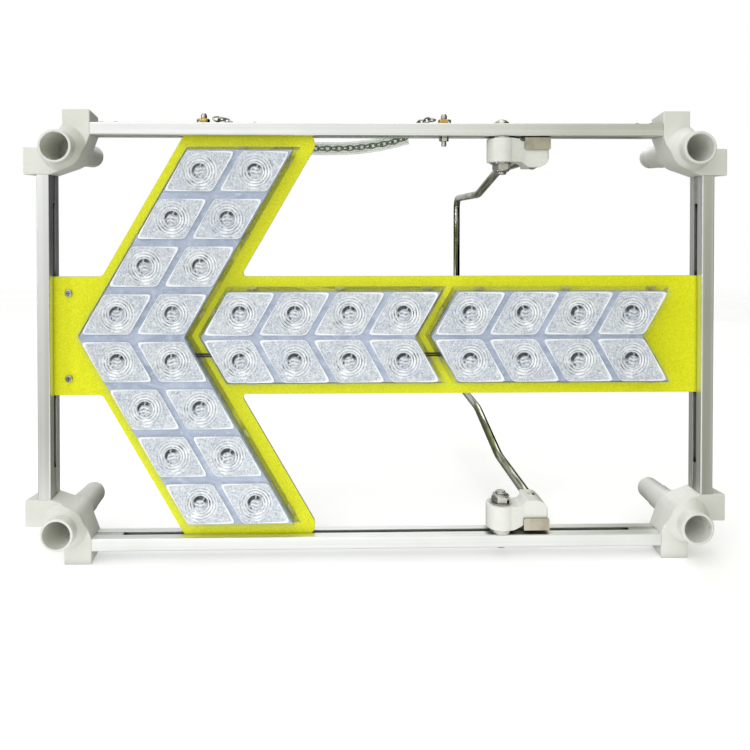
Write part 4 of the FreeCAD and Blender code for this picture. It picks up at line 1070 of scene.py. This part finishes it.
# ---- stage, light and camera ----
def floor():
    """A pale studio floor whose rim melts into the white surroundings.

    The camera sees it pale. As light it is white in front of the board, and dim behind it and past its ends.
    """
    mesh_data = bmesh.new()
    bmesh.ops.create_circle(mesh_data, cap_ends=True, segments=96, radius=6.0)
    obj = bpy.data.objects.new("studio_floor", finished(mesh_data, "studio_floor"))
    bpy.context.scene.collection.objects.link(obj)
    look = Look("studio_floor", roughness=0.6)
    mottle = look.noise(3, detail=4)
    pale = look.mix(look.span(mottle, 0.3, 0.7), colour(250, 250, 250), colour(245, 245, 246))
    rays = look.add("ShaderNodeLightPath").outputs["Is Camera Ray"]
    split = look.add("ShaderNodeSeparateXYZ")
    look.feed(look.object_place, split.inputs[0])
    lit = look.mix(look.span(split.outputs["Y"], -0.3, -0.2), colour(255, 255, 255), colour(70, 70, 62))
    off_middle_squared = look.calc(look.calc(split.outputs["X"], 0.05), 2.0, "POWER")
    lit = look.mix(look.span(off_middle_squared, 0.14, 0.24), lit, colour(112, 110, 98))
    look.paint(look.mix(rays, colour(96, 97, 90), pale))
    look.feed(look.mix(rays, lit, pale), look.shader.inputs["Emission Color"])
    look.feed(look.span(rays, 0.0, 1.0, 1.05, 0.35), look.shader.inputs["Emission Strength"])
    reach = look.add("ShaderNodeVectorMath", operation="LENGTH")
    look.feed(look.object_place, reach.inputs[0])
    look.see_through(look.span(reach.outputs["Value"], 1.3, 4.5))
    dress(obj, look.material)
    obj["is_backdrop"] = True


def surroundings():
    """White to look at; as light, brightest in front and overhead, and dim and yellow-green to the right.

    The strengths add up to less than zero to the right and behind, where the world takes light away. That
    turns the backs of the rails navy.
    """
    world = bpy.data.worlds.new("studio")
    bpy.context.scene.world = world
    world.use_nodes = True
    world.node_tree.nodes.clear()
    sky = Nodes(world.node_tree)
    seen = sky.add("ShaderNodeBackground")
    seen.inputs["Color"].default_value = (1, 1, 1, 1)
    light = sky.add("ShaderNodeBackground")
    split = sky.add("ShaderNodeSeparateXYZ")
    sky.feed(sky.add("ShaderNodeTexCoord").outputs["Generated"], split.inputs[0])
    depth = sky.span(split.outputs["Y"], -0.95, -0.15, 0.9, 0.42)
    height = sky.span(split.outputs["Z"], -0.5, 0.9, -0.06, 0.5)
    left = sky.span(split.outputs["X"], -0.6, -0.1, -0.2, 0.0)
    right = sky.span(split.outputs["X"], 0.1, 0.5, 0.0, -0.72)
    sky.feed(sky.calc(sky.calc(depth, height), sky.calc(left, right)), light.inputs["Strength"])
    rightward = sky.span(split.outputs["X"], 0.1, 0.5)
    tint = sky.mix(rightward, (1.0, 1.0, 1.0, 1.0), (0.98, 1.0, 0.62, 1.0))
    sky.feed(tint, light.inputs["Color"])
    rays = sky.add("ShaderNodeLightPath")
    mixer = sky.add("ShaderNodeMixShader")
    sky.feed(rays.outputs["Is Camera Ray"], mixer.inputs["Fac"])
    sky.feed(light.outputs[0], mixer.inputs[1])
    sky.feed(seen.outputs[0], mixer.inputs[2])
    sky.feed(mixer.outputs[0], sky.add("ShaderNodeOutputWorld").inputs["Surface"])


def softbox(name, at, towards, size, watts):
    """A rectangular area light that faces a point."""
    light = bpy.data.lights.new(name, "AREA")
    light.shape = "RECTANGLE"
    light.size, light.size_y = size
    light.energy = watts
    obj = bpy.data.objects.new(name, light)
    obj.location = at
    obj.rotation_euler = (Vector(towards) - Vector(at)).to_track_quat("-Z", "Y").to_euler()
    bpy.context.scene.collection.objects.link(obj)


def camera():
    """Nearly square on to the board, a little left of its middle and above it; the shift frames it."""
    data = bpy.data.cameras.new("camera")
    data.sensor_width = 36.0
    data.lens = 33.65
    data.shift_x = 0.0372
    data.shift_y = -0.1902
    turn_right, look_down = math.radians(1.33), math.radians(0.72)
    obj = bpy.data.objects.new("camera", data)
    obj.location = place(-57.0, -824.6, 133.4)
    obj.rotation_euler = (math.radians(90) - look_down, 0, -turn_right)
    bpy.context.scene.collection.objects.link(obj)
    bpy.context.scene.camera = obj


floor()
surroundings()
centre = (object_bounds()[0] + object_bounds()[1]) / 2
SOFTBOXES = {  # offset from the middle of the board, size, watts
    "key": ((-1.1, -2.0, 1.6), (1.2, 1.2), 9),
    "fill": ((1.9, -1.5, 0.7), (1.4, 1.4), 1.4),
    "top": ((0.2, -0.1, 2.2), (1.8, 1.2), 7),
    "strip": ((-1.9, -1.2, 0.5), (0.14, 1.6), 6),
    "back": ((0.5, 2.2, 1.4), (1.6, 1.0), 5),
}
for name, (offset, size, watts) in SOFTBOXES.items():
    softbox(name, centre + Vector(offset), centre, size, watts)
camera()
bpy.context.scene.view_settings.view_transform = "Standard"
